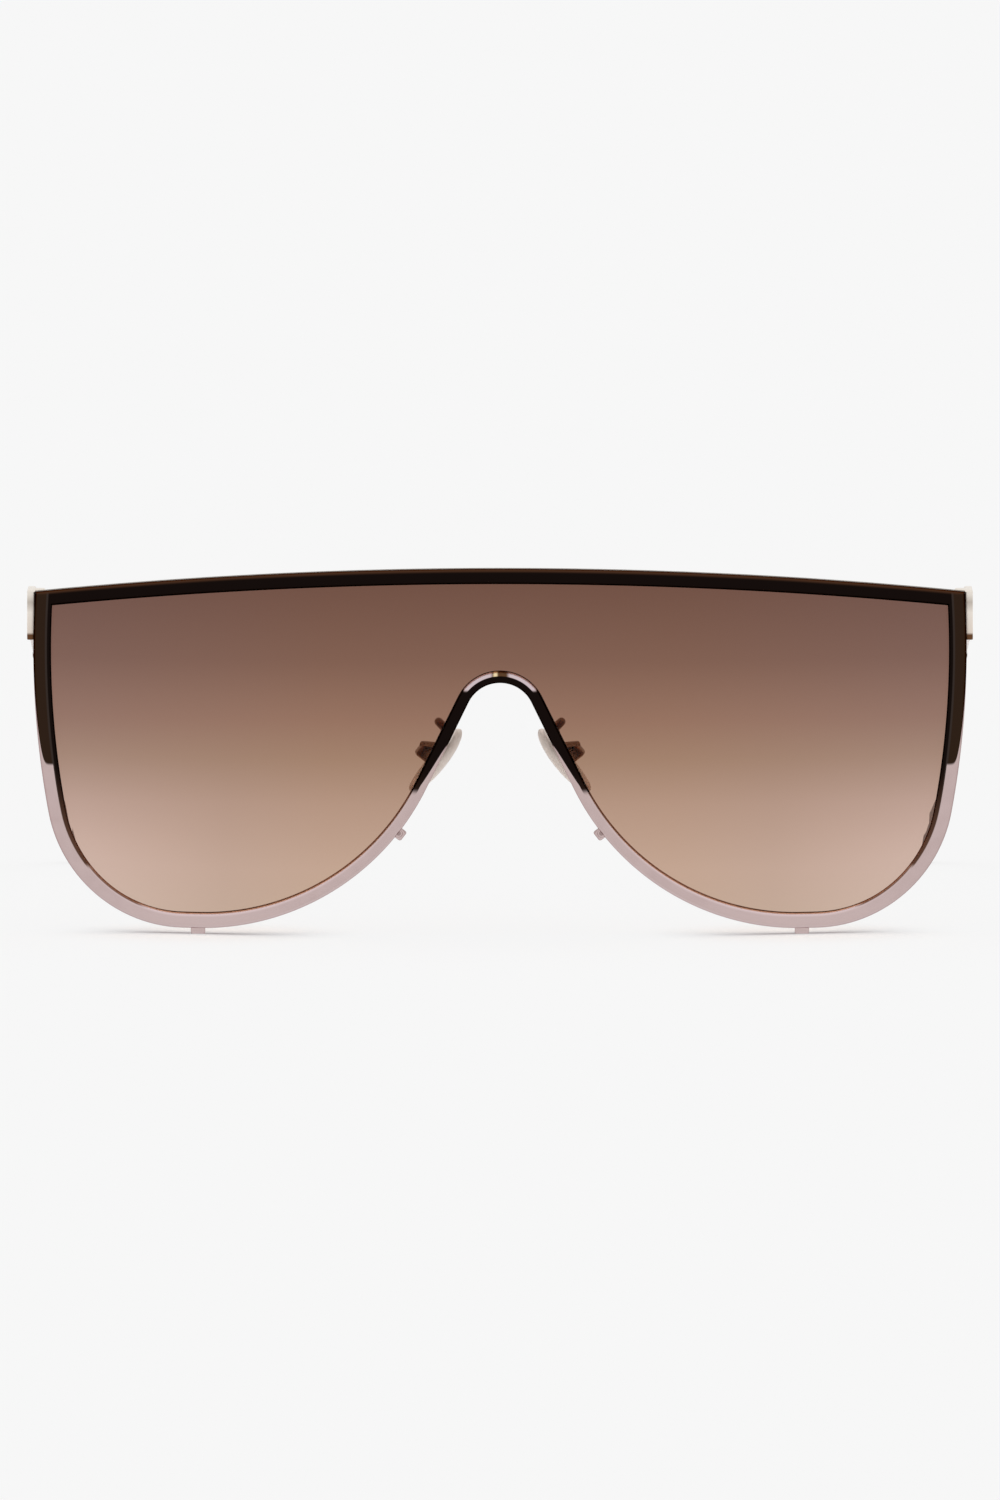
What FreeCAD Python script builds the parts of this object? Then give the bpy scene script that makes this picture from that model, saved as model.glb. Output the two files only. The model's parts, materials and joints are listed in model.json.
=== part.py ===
import FreeCAD, Part
import math
import os
import re

# Shield sunglasses: one curved lens in a metal rim that is closed by four screwed locks,
# with rocking nose pads and folding temples. The front faces -Y, +Z is up and the wearer's
# left is +X. The origin lies on the floor, under the middle of the box around the part.

Vector = FreeCAD.Vector
doc = FreeCAD.newDocument("shield_sunglasses")

sizes = {
    # The whole part
    "rim_width": "143.2",
    "side_wall": "1.05",
    "overall_depth": "158.0",

    # Curve of the front, seen from above, and what lies behind its face
    "front_radius": "175.0",
    "lens_recess": "1.0",
    "lens_thickness": "1.8",
    "back_lip": "0.6",
    "lens_grip": "0.6",
    "lens_clearance": "0.05",

    # Outline of the front, seen along Y
    "brow_top": "56.43",
    "brow_radius": "569.0",
    "brow_band": "2.35",
    "side_band": "2.75",
    "side_radius": "135.0",
    "side_height": "43.05",
    "floor_radius": "1000.0",
    "lower_band": "2.35",
    "nose_thinning": "0.55",
    "foot_height": "0.9",
    "arch_top": "38.94",

    # What grows with the width of the rim, as shares of it
    "lowest_spread_share": "0.6462",
    "lower_radius_share": "0.2721",
    "corner_radius_share": "0.1471",
    "arch_radius_share": "0.0374",

    # Rim locks
    "lock_angle": "52.0",
    "foot_lock_width": "2.2",
    "nose_lock_width": "1.7",
    "lock_radius": "1.0",
    "foot_trim": "0.15",
    "lock_screw_radius": "0.45",
    "lock_slot_width": "0.18",
    "lock_slot_depth": "0.3",

    # End pieces
    "end_piece_drop": "0.31",
    "end_piece_height": "7.3",
    "end_piece_lead": "1.16",
    "end_piece_flange": "1.0",
    "end_piece_channel": "0.3",
    "foot_width": "2.7",
    "foot_length": "2.53",

    # Hinges
    "hinge_stand": "7.93",
    "hinge_height": "5.6",
    "middle_knuckle": "2.0",
    "washer_thickness": "0.1",
    "knuckle_radius": "1.2",
    "knuckle_gap": "0.25",
    "leaf_thickness": "0.9",
    "leaf_length": "5.0",
    "leaf_gap": "0.1",
    "temple_gap": "0.05",
    "hinge_screw_radius": "0.7",
    "hinge_head_radius": "1.1",
    "hinge_head_height": "0.5",
    "hinge_slot_width": "0.3",
    "hinge_slot_depth": "0.25",
    "running_clearance": "0.03",

    # Temples and tips
    "temple_slope_angle": "8.0",
    "temple_waist": "3.8",
    "temple_taper": "35.0",
    "core_height": "2.2",
    "core_short": "8.0",
    "tip_lap": "14.0",
    "drop_radius": "30.0",
    "drop_angle": "35.0",
    "inward_setback": "120.0",
    "inward_radius": "145.0",
    "tip_height": "3.8",
    "tip_thickness": "1.7",
    "tip_rounding": "0.5",

    # Nose pads
    "pad_spread": "19.68",
    "pad_setback": "9.4",
    "pad_height": "26.5",
    "pad_lean_angle": "39.0",
    "pad_splay_angle": "10.0",
    "pad_length": "12.2",
    "pad_width": "6.5",
    "pad_crown": "1.6",
    "pad_base": "0.6",
    "core_length": "7.0",
    "core_width": "3.0",
    "core_inlay": "0.7",
    "lug_length": "1.5",
    "lug_width": "1.3",
    "lug_reach": "2.0",
    "box_length": "2.3",
    "box_wall": "0.45",
    "box_gap": "0.5",
    "box_depth": "2.2",
    "lug_clearance": "0.08",
    "pad_screw_radius": "0.4",
    "pad_screw_drop": "1.3",
    "pad_head_radius": "0.65",
    "pad_head_height": "0.35",

    # Pad arms
    "arm_radius": "0.5",
    "arm_root_height": "31.4",
    "arm_stand": "2.6",
    "arm_reach": "2.25",
    "arm_back": "1.2",
    "arm_rise": "2.25",
    "arm_loop": "2.2",
    "arm_offset": "0.3",
    "arm_side": "0.95",
    "arm_fold": "1.0",
    "arm_drop": "2.5",
    "arm_bend": "0.7",

    # Length by which a cutting shape runs past what it cuts
    "overrun": "4.0",
}

# Sizes that follow from those above
following_sizes = {
    "front_width": "=rim_width + side_wall * 2",
    "rim_depth": "=lens_recess + lens_thickness + back_lip",
    "lowest_spread": "=rim_width * lowest_spread_share",
    "lower_radius": "=rim_width * lower_radius_share",
    "corner_radius": "=rim_width * corner_radius_share",
    "arch_radius": "=rim_width * arch_radius_share",

    # Where the face, the back and the top of the rim come to at its sides
    "side_setback": "=front_radius - sqrt(front_radius ^ 2 - (rim_width / 2) ^ 2)",
    "side_back": "=front_radius - sqrt((front_radius - rim_depth) ^ 2 - (rim_width / 2) ^ 2)",
    "side_top": "=brow_top - brow_radius + sqrt(brow_radius ^ 2 - (rim_width / 2) ^ 2)",
    "end_piece_top": "=side_top - end_piece_drop",
    "end_piece_setback": "=side_setback + end_piece_lead",
    "foot_back": "=side_back + foot_length",
    "hinge_setback": "=side_back + hinge_stand",
}

sheet = doc.addObject("Spreadsheet::Sheet", "Sizes")
rows = {**sizes, **following_sizes}
for row, (alias, entry) in enumerate(rows.items(), start=1):
    sheet.set(f"A{row}", alias)
    sheet.set(f"B{row}", entry)
    sheet.setAlias(f"B{row}", alias)
doc.recompute()


def size(alias):
    return float(sheet.get(alias))


def formula(text):
    # Turns a sum of size names into an expression that reads them from the sheet.
    return re.sub(r"[a-z]\w*", lambda word: f"Sizes.{word[0]}" if word[0] in rows else word[0], text)


def bind(thing, **formulas):
    for name, text in formulas.items():
        thing.setExpression(name, formula(text))
    return thing


def move(thing, x, y, z):
    for axis, text in zip("xyz", (x, y, z)):
        thing.setExpression(f"Placement.Base.{axis}", formula(text))
    return thing


def box(name, x, y, z):
    # A block between two formulas along each axis.
    block = doc.addObject("Part::Box", name)
    spans = [f"({high}) - ({low})" for low, high in (x, y, z)]
    bind(block, Length=spans[0], Width=spans[1], Height=spans[2])
    return move(block, x[0], y[0], z[0])


def post(name, radius, x, y, z):
    # An upright cylinder between two heights.
    rod = doc.addObject("Part::Cylinder", name)
    bind(rod, Radius=radius, Height=f"({z[1]}) - ({z[0]})")
    return move(rod, x, y, z[0])


def cut(name, base, *tools):
    for number, tool in enumerate(tools):
        last = number == len(tools) - 1
        result = doc.addObject("Part::Cut", name if last else f"{name}_cut_{number}")
        result.Base = base
        result.Tool = tool
        base = result
    return base


def common(name, base, tool):
    result = doc.addObject("Part::Common", name)
    result.Base = base
    result.Tool = tool
    return result


def fuse(name, *shapes):
    result = doc.addObject("Part::MultiFuse", name)
    result.Shapes = list(shapes)
    return result


def mirrored(name, source):
    twin = doc.addObject("Part::Mirroring", name)
    twin.Source = source
    twin.Normal = Vector(1, 0, 0)
    return twin


def on_circle(centre, radius, angle):
    return Vector(centre.x + radius * math.cos(angle), centre.y + radius * math.sin(angle), 0)


def arc(centre, radius, start, stop):
    points = [on_circle(centre, radius, angle) for angle in (start, (start + stop) / 2, stop)]
    return Part.Arc(*points)


def line(start, stop):
    return Part.LineSegment(start, stop)


def polygon(points):
    return [line(points[number - 1], points[number]) for number in range(len(points))]


def where_circles_meet(first, first_radius, second, second_radius, side):
    # The meeting point on the left (side 1) or right (side -1) of the way from first to second.
    way = second - first
    along = (first_radius ** 2 - second_radius ** 2 + way.Length ** 2) / (2 * way.Length)
    across = math.sqrt(first_radius ** 2 - along ** 2)
    way.normalize()
    return first + way * along + Vector(-way.y, way.x, 0) * (side * across)


def heading(start, stop):
    return math.atan2(stop.y - start.y, stop.x - start.x)


# Planes that outlines are drawn on: seen from the front, from the side and from above
FRONT = FreeCAD.Rotation(Vector(1, 0, 0), 90)
SIDE = FreeCAD.Rotation(Vector(1, 1, 1), 120)
ABOVE = FreeCAD.Rotation()
WAY_OUT = {"FRONT": Vector(0, 1, 0), "SIDE": Vector(1, 0, 0), "ABOVE": Vector(0, 0, 1)}


def prism(name, plane, outline, low, high):
    # Draws an outline on a plane and thickens it between two formulas.
    turn = {"FRONT": FRONT, "SIDE": SIDE, "ABOVE": ABOVE}[plane]
    start = {"FRONT": ("0", low, "0"), "SIDE": (low, "0", "0"), "ABOVE": ("0", "0", low)}[plane]
    sketch = doc.addObject("Sketcher::SketchObject", f"{name}_outline")
    sketch.Placement = FreeCAD.Placement(Vector(), turn)
    move(sketch, *start)
    sketch.addGeometry(outline, False)
    solid = doc.addObject("Part::Extrusion", name)
    solid.Base = sketch
    solid.DirMode = "Custom"
    solid.Dir = WAY_OUT[plane]
    solid.Solid = True
    return bind(solid, LengthFwd=f"({high}) - ({low})")


# Outline of the front
# Arcs that run into one another, drawn at given distances inside the outer edge of the rim.
lowest_x = size("lowest_spread") / 2
brow_centre = Vector(0, size("brow_top") - size("brow_radius"), 0)
side_centre = Vector(size("rim_width") / 2 - size("side_radius"), size("side_height"), 0)
floor_centre = Vector(lowest_x, size("foot_height") + size("floor_radius"), 0)
lower_centre = Vector(lowest_x, size("foot_height") + size("lower_radius"), 0)
arch_centre = Vector(0, size("arch_top") - size("arch_radius"), 0)


def arch_leg(centre, lower, arch):
    # The leg of the nose arch is the line that touches both of its circles between them.
    # This is the angle at which it leaves the lower circle; it meets the arch on the far side.
    span = (arch_centre - centre).Length
    angle = heading(centre, arch_centre) + math.acos((lower + arch) / span)
    return angle - 2 * math.pi if angle > 0 else angle


def nose_shift(lower_inset):
    # The rim thins towards the nose: its inner edge is drawn round centres that lie nearer to it.
    return size("nose_thinning") * lower_inset / size("lower_band")


def front_outline(brow_inset, side_inset, lower_inset):
    brow = size("brow_radius") - brow_inset
    side = size("side_radius") - side_inset
    corner = size("corner_radius") - (side_inset + lower_inset) / 2
    floor = size("floor_radius") - lower_inset
    lower = size("lower_radius") - lower_inset
    shift = Vector(nose_shift(lower_inset), 0, 0)
    arch = size("arch_radius") + lower_inset - shift.x
    floor_middle = floor_centre - shift
    lower_middle = lower_centre - shift

    top_corner = where_circles_meet(brow_centre, brow, side_centre, side, -1)
    corner_centre = where_circles_meet(floor_middle, floor - corner, side_centre, side - corner, 1)
    brow_angle = heading(brow_centre, top_corner)
    side_angle = heading(side_centre, top_corner)
    turn_angle = heading(side_centre, corner_centre)
    floor_angle = heading(floor_middle, corner_centre)
    lowest_angle = -math.pi / 2
    leg_angle = arch_leg(lower_middle, lower, arch)
    arch_angle = leg_angle + math.pi

    half = [
        arc(side_centre, side, side_angle, turn_angle),
        arc(corner_centre, corner, turn_angle, floor_angle),
        arc(floor_middle, floor, floor_angle, lowest_angle),
        arc(lower_middle, lower, lowest_angle, leg_angle),
        line(on_circle(lower_middle, lower, leg_angle), on_circle(arch_centre, arch, arch_angle)),
    ]
    twins = []
    for edge in half:
        twin = edge.copy()
        twin.mirror(Vector(), Vector(0, 1, 0))
        twins.append(twin)
    return half + twins + [
        arc(brow_centre, brow, brow_angle, math.pi - brow_angle),
        arc(arch_centre, arch, arch_angle, math.pi - arch_angle),
    ]


brow_band = size("brow_band")
side_band = size("side_band")
lower_band = size("lower_band")
front_face = "-overall_depth / 2"
front_start = f"{front_face} - overrun"
front_end = f"{front_face} + side_back + overrun"


def front_prism(name, inset):
    outline = front_outline(brow_band - inset, side_band - inset, lower_band - inset)
    return prism(name, "FRONT", outline, front_start, front_end)


def drum(name, depth):
    # The round of the front, at a depth behind its face.
    return post(name, f"front_radius - ({depth})", "0", f"{front_face} + front_radius",
                ("-overrun", "brow_top + overrun"))


def shell(name, near, far):
    return cut(name, drum(f"{name}_outer", near), drum(f"{name}_inner", far))


# Shield lens
shield_lens = common("shield_lens", front_prism("lens_blank", size("lens_grip")),
                     shell("lens_shell", "lens_recess", "lens_recess + lens_thickness"))

# Rim, still in one ring
# It is grooved for the lens, with a clearance on every side.
outer_outline = front_outline(0, 0, 0)
rim_blank = common("rim_blank", prism("rim_outer", "FRONT", outer_outline, front_start, front_end),
                   shell("rim_shell", "0", "rim_depth"))
lens_seat = common("lens_seat", front_prism("seat_blank", size("lens_grip") + size("lens_clearance")),
                   shell("seat_shell", "lens_recess - lens_clearance",
                         "lens_recess + lens_thickness + lens_clearance"))
rim_ring = cut("rim_ring", rim_blank, front_prism("rim_window", 0), lens_seat)

# Where the ring is sawn apart
# Each cut is on a radius of the lower rim: one at its lowest point, one beside the nose.
nose_cut = -math.pi / 2 - math.radians(size("lock_angle"))
cut_reach = size("lower_radius") + size("overrun")
lowest_end = on_circle(lower_centre, cut_reach, -math.pi / 2)
nose_end = on_circle(lower_centre, cut_reach, nose_cut)
zone_top = (size("arch_top") + size("brow_top")) / 2


def reflect(point):
    return Vector(-point.x, point.y, point.z)


bridge_top = Vector(size("arch_radius") * 2, zone_top, 0)
bridge_points = [lower_centre, nose_end, reflect(nose_end), reflect(lower_centre),
                 reflect(bridge_top), bridge_top]
lower_points = [lower_centre, nose_end, Vector(nose_end.x, lowest_end.y, 0), lowest_end]
bridge_zone = prism("bridge_zone", "FRONT", polygon(bridge_points), front_start, front_end)
lower_zone = prism("lower_zone", "FRONT", polygon(lower_points), front_start, front_end)
lower_zone_right = mirrored("lower_zone_right", lower_zone)

# Lock barrels, bores and screws
# A barrel half is brazed to each sawn end; one slotted screw runs through both halves.
lock_stand = size("lower_radius") + size("foot_height") + size("foot_trim") - size("lock_radius")


def rim_middle_y(x):
    # Half way through the depth of the rim, at a distance from the middle of the front.
    middle = size("front_radius") - size("rim_depth") / 2
    return size("front_radius") - math.sqrt(middle ** 2 - x ** 2) - size("overall_depth") / 2


def lock_placement(angle, offset):
    # On the barrel's axis, moved along it by an offset; local Z is the axis.
    spot = on_circle(lower_centre, lock_stand, angle)
    along = Vector(-math.sin(angle), 0, math.cos(angle))
    base = Vector(spot.x, rim_middle_y(spot.x), spot.y) + along * offset
    return FreeCAD.Placement(base, FreeCAD.Rotation(Vector(0, 0, 1), along))


def lock_rod(name, radius, length, angle, offset):
    rod = doc.addObject("Part::Cylinder", name)
    bind(rod, Radius=radius, Height=length)
    rod.Placement = lock_placement(angle, offset)
    return rod


upper_half = {}
lower_half = {}
bores = {}
screws = []
for place, angle in {"foot": -math.pi / 2, "nose": nose_cut}.items():
    width = f"{place}_lock_width"
    start = -size(width) / 2
    upper_half[place] = lock_rod(f"{place}_barrel_upper", "lock_radius", f"{width} / 2", angle, 0)
    lower_half[place] = lock_rod(f"{place}_barrel_lower", "lock_radius", f"{width} / 2", angle, start)
    bores[place] = lock_rod(f"{place}_bore", "lock_screw_radius + running_clearance", width, angle, start)
    shank = doc.addObject("Part::Cylinder", f"{place}_screw_shank")
    bind(shank, Radius="lock_screw_radius", Height=width)
    slot = box(f"{place}_screw_slot", ("-lock_slot_width / 2", "lock_slot_width / 2"),
               ("-lock_screw_radius * 2", "lock_screw_radius * 2"),
               (f"{width} - lock_slot_depth", f"{width} + overrun"))
    screw = cut(f"{place}_screw", shank, slot)
    screw.Placement = lock_placement(angle, start)
    screws += [screw, mirrored(f"{place}_screw_right", screw)]
rim_lock_screws = doc.addObject("Part::Compound", "rim_lock_screws")
rim_lock_screws.Links = screws

# Rim segments
# The barrel feet are trimmed flat so that the front stands on them.
floor_block = box("floor_block", ("-front_width", "front_width"), ("-overall_depth", "overall_depth"),
                  ("-overrun", "0"))
lower_blank = fuse("lower_rim_blank", common("lower_rim_arc", rim_ring, lower_zone),
                   lower_half["foot"], upper_half["nose"])
lower_rim_left = cut("lower_rim_left", lower_blank, bores["foot"], bores["nose"], floor_block)
lower_rim_right = mirrored("lower_rim_right", lower_rim_left)

nose_half = lower_half["nose"]
bridge_blank = fuse("bridge_rim_blank", common("bridge_rim_arc", rim_ring, bridge_zone),
                    nose_half, mirrored("nose_barrel_right", nose_half))
bridge_rim = cut("bridge_rim", bridge_blank, bores["nose"], mirrored("nose_bore_right", bores["nose"]))

foot_half = upper_half["foot"]
brow_arc = cut("brow_rim_arc", rim_ring, bridge_zone, lower_zone, lower_zone_right)
brow_blank = fuse("brow_rim_blank", brow_arc, foot_half, mirrored("foot_barrel_right", foot_half))
brow_rim = cut("brow_rim", brow_blank, bores["foot"], mirrored("foot_bore_right", bores["foot"]),
               floor_block)

# End piece
# A channelled plate outside the rim, with a foot brazed to the back of the rim.
plate_inner = "rim_width / 2"
plate_outer = "front_width / 2"
end_low = "end_piece_top - end_piece_height"
hinge_y = f"{front_face} + hinge_setback"
end_plate = box("end_plate", (plate_inner, plate_outer), (f"{front_face} + end_piece_setback", hinge_y),
                (end_low, "end_piece_top"))
foot_block = box("end_foot_block", (f"{plate_inner} - foot_width", plate_inner),
                 (f"{front_face} + end_piece_setback", f"{front_face} + foot_back"),
                 (f"{end_low} + end_piece_flange", "end_piece_top - end_piece_flange"))
end_foot = common("end_foot", foot_block, drum("rim_back", "rim_depth"))
end_channel = box("end_channel", (f"{plate_outer} - end_piece_channel", f"{plate_outer} + overrun"),
                  (front_face, hinge_y),
                  (f"{end_low} + end_piece_flange", "end_piece_top - end_piece_flange"))
end_piece_left = cut("end_piece_left", fuse("end_piece_blank", end_plate, end_foot), end_channel)

# Hinge leaves
# Two knuckles on the end piece, one between them on the temple, all on one upright screw.
hinge_middle = "end_piece_top - end_piece_height / 2"
hinge_low = f"{hinge_middle} - hinge_height / 2"
hinge_top = f"{hinge_middle} + hinge_height / 2"
gap_low = f"{hinge_middle} - middle_knuckle / 2 - washer_thickness"
gap_top = f"{hinge_middle} + middle_knuckle / 2 + washer_thickness"
middle_low = f"{hinge_middle} - middle_knuckle / 2"
middle_top = f"{hinge_middle} + middle_knuckle / 2"
pin_x = f"{plate_inner} - knuckle_gap - knuckle_radius"
leaf_inner = f"{plate_inner} - leaf_thickness"
hinge_bore = post("hinge_bore", "hinge_screw_radius + running_clearance", pin_x, hinge_y,
                  (f"{hinge_low} - overrun", f"{hinge_top} + overrun"))

front_parts = [box("front_leaf", (leaf_inner, plate_inner),
                   (f"{hinge_y} - leaf_length", f"{hinge_y} - knuckle_radius - leaf_gap"),
                   (hinge_low, hinge_top))]
for place, span in {"low": (hinge_low, gap_low), "top": (gap_top, hinge_top)}.items():
    front_parts += [
        post(f"front_knuckle_{place}", "knuckle_radius", pin_x, hinge_y, span),
        box(f"front_neck_{place}", (pin_x, plate_inner),
            (f"{hinge_y} - knuckle_radius - leaf_gap", hinge_y), span),
    ]
hinge_front_left = cut("hinge_front_left", fuse("hinge_front_blank", *front_parts), hinge_bore)

rear_parts = [
    box("rear_leaf", (leaf_inner, plate_inner),
        (f"{hinge_y} + knuckle_radius + leaf_gap", f"{hinge_y} + leaf_length"), (hinge_low, hinge_top)),
    post("rear_knuckle", "knuckle_radius", pin_x, hinge_y, (middle_low, middle_top)),
    box("rear_neck", (pin_x, plate_inner),
        (f"{hinge_y} + temple_gap", f"{hinge_y} + knuckle_radius + leaf_gap"), (middle_low, middle_top)),
]
hinge_rear_left = cut("hinge_rear_left", fuse("hinge_rear_blank", *rear_parts), hinge_bore)

# Hinge screw and washers
hinge_shank = post("hinge_shank", "hinge_screw_radius", pin_x, hinge_y, (hinge_low, hinge_top))
hinge_head = post("hinge_head", "hinge_head_radius", pin_x, hinge_y,
                  (hinge_top, f"{hinge_top} + hinge_head_height"))
hinge_slot = box("hinge_slot", (f"{pin_x} - hinge_slot_width / 2", f"{pin_x} + hinge_slot_width / 2"),
                 (f"{hinge_y} - hinge_head_radius * 2", f"{hinge_y} + hinge_head_radius * 2"),
                 (f"{hinge_top} + hinge_head_height - hinge_slot_depth", f"{hinge_top} + overrun"))
hinge_screw_left = cut("hinge_screw_left", fuse("hinge_screw_blank", hinge_shank, hinge_head), hinge_slot)

washers = []
for place, span in {"low": (gap_low, middle_low), "top": (middle_top, gap_top)}.items():
    disc = post(f"washer_disc_{place}", "knuckle_radius", pin_x, hinge_y, span)
    washers.append(cut(f"washer_{place}", disc, hinge_bore))
hinge_washers_left = doc.addObject("Part::Compound", "hinge_washers_left")
hinge_washers_left.Links = washers

# Line of the temple, seen from the side
# It slopes down, bends and drops until the rounded tip rests on the floor at the full depth.
slope = math.radians(size("temple_slope_angle"))
drop = slope + math.radians(size("drop_angle"))
tip_radius = size("tip_height") / 2
hinge_point = Vector(size("hinge_setback") - size("overall_depth") / 2,
                     size("end_piece_top") - size("end_piece_height") / 2, 0)
bend_run = size("drop_radius") * (math.sin(drop) - math.sin(slope))
bend_fall = size("drop_radius") * (math.cos(slope) - math.cos(drop))
run = size("overall_depth") / 2 - tip_radius - hinge_point.x - bend_run
fall = hinge_point.y - tip_radius - bend_fall
straight = (run * math.sin(drop) - fall * math.cos(drop)) / math.sin(drop - slope)
drop_length = (fall * math.cos(slope) - run * math.sin(slope)) / math.sin(drop - slope)

along_slope = Vector(math.cos(slope), -math.sin(slope), 0)
along_drop = Vector(math.cos(drop), -math.sin(drop), 0)
above_slope = Vector(math.sin(slope), math.cos(slope), 0)
above_drop = Vector(math.sin(drop), math.cos(drop), 0)
bend_start = hinge_point + along_slope * straight
bend_centre = bend_start - above_slope * size("drop_radius")
bend_end = bend_centre + above_drop * size("drop_radius")


def strip_outline(height, lap, drop_end, rounded):
    # A strip of one height, from a lap before the bend to a distance down the drop.
    half = height / 2
    start_angle = math.pi / 2 - slope
    stop_angle = math.pi / 2 - drop
    start = bend_start - along_slope * lap
    stop = bend_end + along_drop * drop_end
    edges = [
        line(start - above_slope * half, start + above_slope * half),
        line(start + above_slope * half, bend_start + above_slope * half),
        arc(bend_centre, size("drop_radius") + half, start_angle, stop_angle),
        line(bend_end + above_drop * half, stop + above_drop * half),
        line(stop - above_drop * half, bend_end - above_drop * half),
        arc(bend_centre, size("drop_radius") - half, stop_angle, start_angle),
        line(bend_start - above_slope * half, start - above_slope * half),
    ]
    if rounded:
        edges.append(arc(stop, half, math.pi / 2 - drop, -math.pi / 2 - drop))
    else:
        edges.append(line(stop + above_drop * half, stop - above_drop * half))
    return edges


temple_middle = (size("rim_width") + size("side_wall")) / 2
inward_start = size("inward_setback") - size("overall_depth") / 2
inward_centre = Vector(temple_middle - size("inward_radius"), inward_start, 0)
inward_sweep = math.asin((size("overall_depth") / 2 + size("overrun") - inward_start)
                         / (size("inward_radius") - size("tip_thickness")))


def bent_strip(thickness, start):
    # Seen from above: straight along the head, then curving inward behind the ear.
    inner = Vector(temple_middle - thickness / 2, start, 0)
    outer = Vector(temple_middle + thickness / 2, start, 0)
    inner_radius = size("inward_radius") - thickness / 2
    outer_radius = size("inward_radius") + thickness / 2
    return [
        line(inner, outer),
        line(outer, on_circle(inward_centre, outer_radius, 0)),
        arc(inward_centre, outer_radius, 0, inward_sweep),
        line(on_circle(inward_centre, outer_radius, inward_sweep),
             on_circle(inward_centre, inner_radius, inward_sweep)),
        arc(inward_centre, inner_radius, inward_sweep, 0),
        line(on_circle(inward_centre, inner_radius, 0), inner),
    ]


temple_inner = "rim_width / 2 - inward_radius"
temple_outer = "front_width / 2 + overrun"
temple_start = hinge_point.x + size("temple_gap")

# Temple
# A strap that tapers from the end piece to its waist, and a thin core that runs on into the tip.
taper_point = hinge_point + along_slope * size("temple_taper")
lap_point = bend_start - along_slope * size("tip_lap")
waist = above_slope * (size("temple_waist") / 2)
strap_points = [
    Vector(temple_start, size("end_piece_top"), 0),
    taper_point + waist,
    lap_point + waist,
    lap_point - waist,
    taper_point - waist,
    Vector(temple_start, size("end_piece_top") - size("end_piece_height"), 0),
]
strap = prism("temple_strap", "SIDE", polygon(strap_points), temple_inner, temple_outer)
core_outline = strip_outline(size("core_height"), size("tip_lap"), drop_length - size("core_short"), False)
core = prism("temple_core", "SIDE", core_outline, temple_inner, temple_outer)
temple_sheet = prism("temple_sheet", "ABOVE", bent_strip(size("side_wall"), hinge_point.x),
                     "-overrun", "brow_top + overrun")
temple_plain = common("temple_plain", fuse("temple_side", strap, core), temple_sheet)

# The channel of the end piece runs on along the outer face of the strap.
flange = size("end_piece_flange")
channel_points = [
    Vector(hinge_point.x - flange, size("end_piece_top") - flange, 0),
    Vector(temple_start, size("end_piece_top") - flange, 0),
    taper_point + waist - above_slope * flange,
    taper_point - waist + above_slope * flange,
    Vector(temple_start, size("end_piece_top") - size("end_piece_height") + flange, 0),
    Vector(hinge_point.x - flange, size("end_piece_top") - size("end_piece_height") + flange, 0),
]
temple_channel = prism("temple_channel", "SIDE", polygon(channel_points),
                       f"{plate_outer} - end_piece_channel", temple_outer)
temple_left = cut("temple_left", temple_plain, temple_channel)

# Temple tip
# A plastic sleeve over the core, up against the end of the strap.
tip_side = prism("tip_side", "SIDE", strip_outline(size("tip_height"), size("tip_lap"), drop_length, True),
                 temple_inner, temple_outer)
tip_sheet = prism("tip_sheet", "ABOVE", bent_strip(size("tip_thickness"), hinge_point.x),
                  "-overrun", "brow_top + overrun")
tip_blank = common("tip_blank", tip_side, tip_sheet)
doc.recompute()
tip_rounded = doc.addObject("Part::Fillet", "tip_rounded")
tip_rounded.Base = tip_blank
tip_rounded.Edges = [
    (number, size("tip_rounding"), size("tip_rounding"))
    for number, edge in enumerate(tip_blank.Shape.Edges, start=1)
    if edge.BoundBox.YMax > lap_point.x + size("tip_height")
]
temple_tip_left = cut("temple_tip_left", tip_rounded, temple_plain)

# Where a nose pad sits
# Local X runs down its length, local Y across it and local Z towards the nose.
lean = math.radians(size("pad_lean_angle"))
splay = math.radians(size("pad_splay_angle"))
pad_down = Vector(math.sin(lean), 0, -math.cos(lean))
pad_normal = Vector(-math.cos(splay) * math.cos(lean), math.sin(splay), -math.cos(splay) * math.sin(lean))
pad_across = pad_normal.cross(pad_down)
pad_centre = Vector(size("pad_spread") / 2, size("pad_setback") - size("overall_depth") / 2,
                    size("pad_height"))
pad_place = FreeCAD.Placement(pad_centre, FreeCAD.Rotation(pad_down, pad_across, pad_normal, "ZXY"))

# Nose pad and its core
# The pad is a crowned oval with a flat back; the core is let into the back and carries a lug.
pad_oval = doc.addObject("Part::Ellipsoid", "pad_oval")
bind(pad_oval, Radius1="pad_crown", Radius2="pad_length / 2", Radius3="pad_width / 2")
pad_back = box("pad_back", ("-pad_length", "pad_length"), ("-pad_width", "pad_width"),
               ("-pad_length", "-pad_base"))
core_plate = box("core_plate", ("-core_length / 2", "core_length / 2"),
                 ("-core_width / 2", "core_width / 2"), ("-pad_base", "core_inlay - pad_base"))
nose_pad_left = cut("nose_pad_left", pad_oval, pad_back, core_plate)

screw_level = "-pad_base - pad_screw_drop"


def cross_rod(name, radius, low, high):
    # A rod across the pad, along local Y.
    rod = doc.addObject("Part::Cylinder", name)
    rod.Placement = FreeCAD.Placement(Vector(), FreeCAD.Rotation(Vector(0, 0, 1), Vector(0, 1, 0)))
    bind(rod, Radius=radius, Height=f"({high}) - ({low})")
    return move(rod, "0", low, screw_level)


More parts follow.
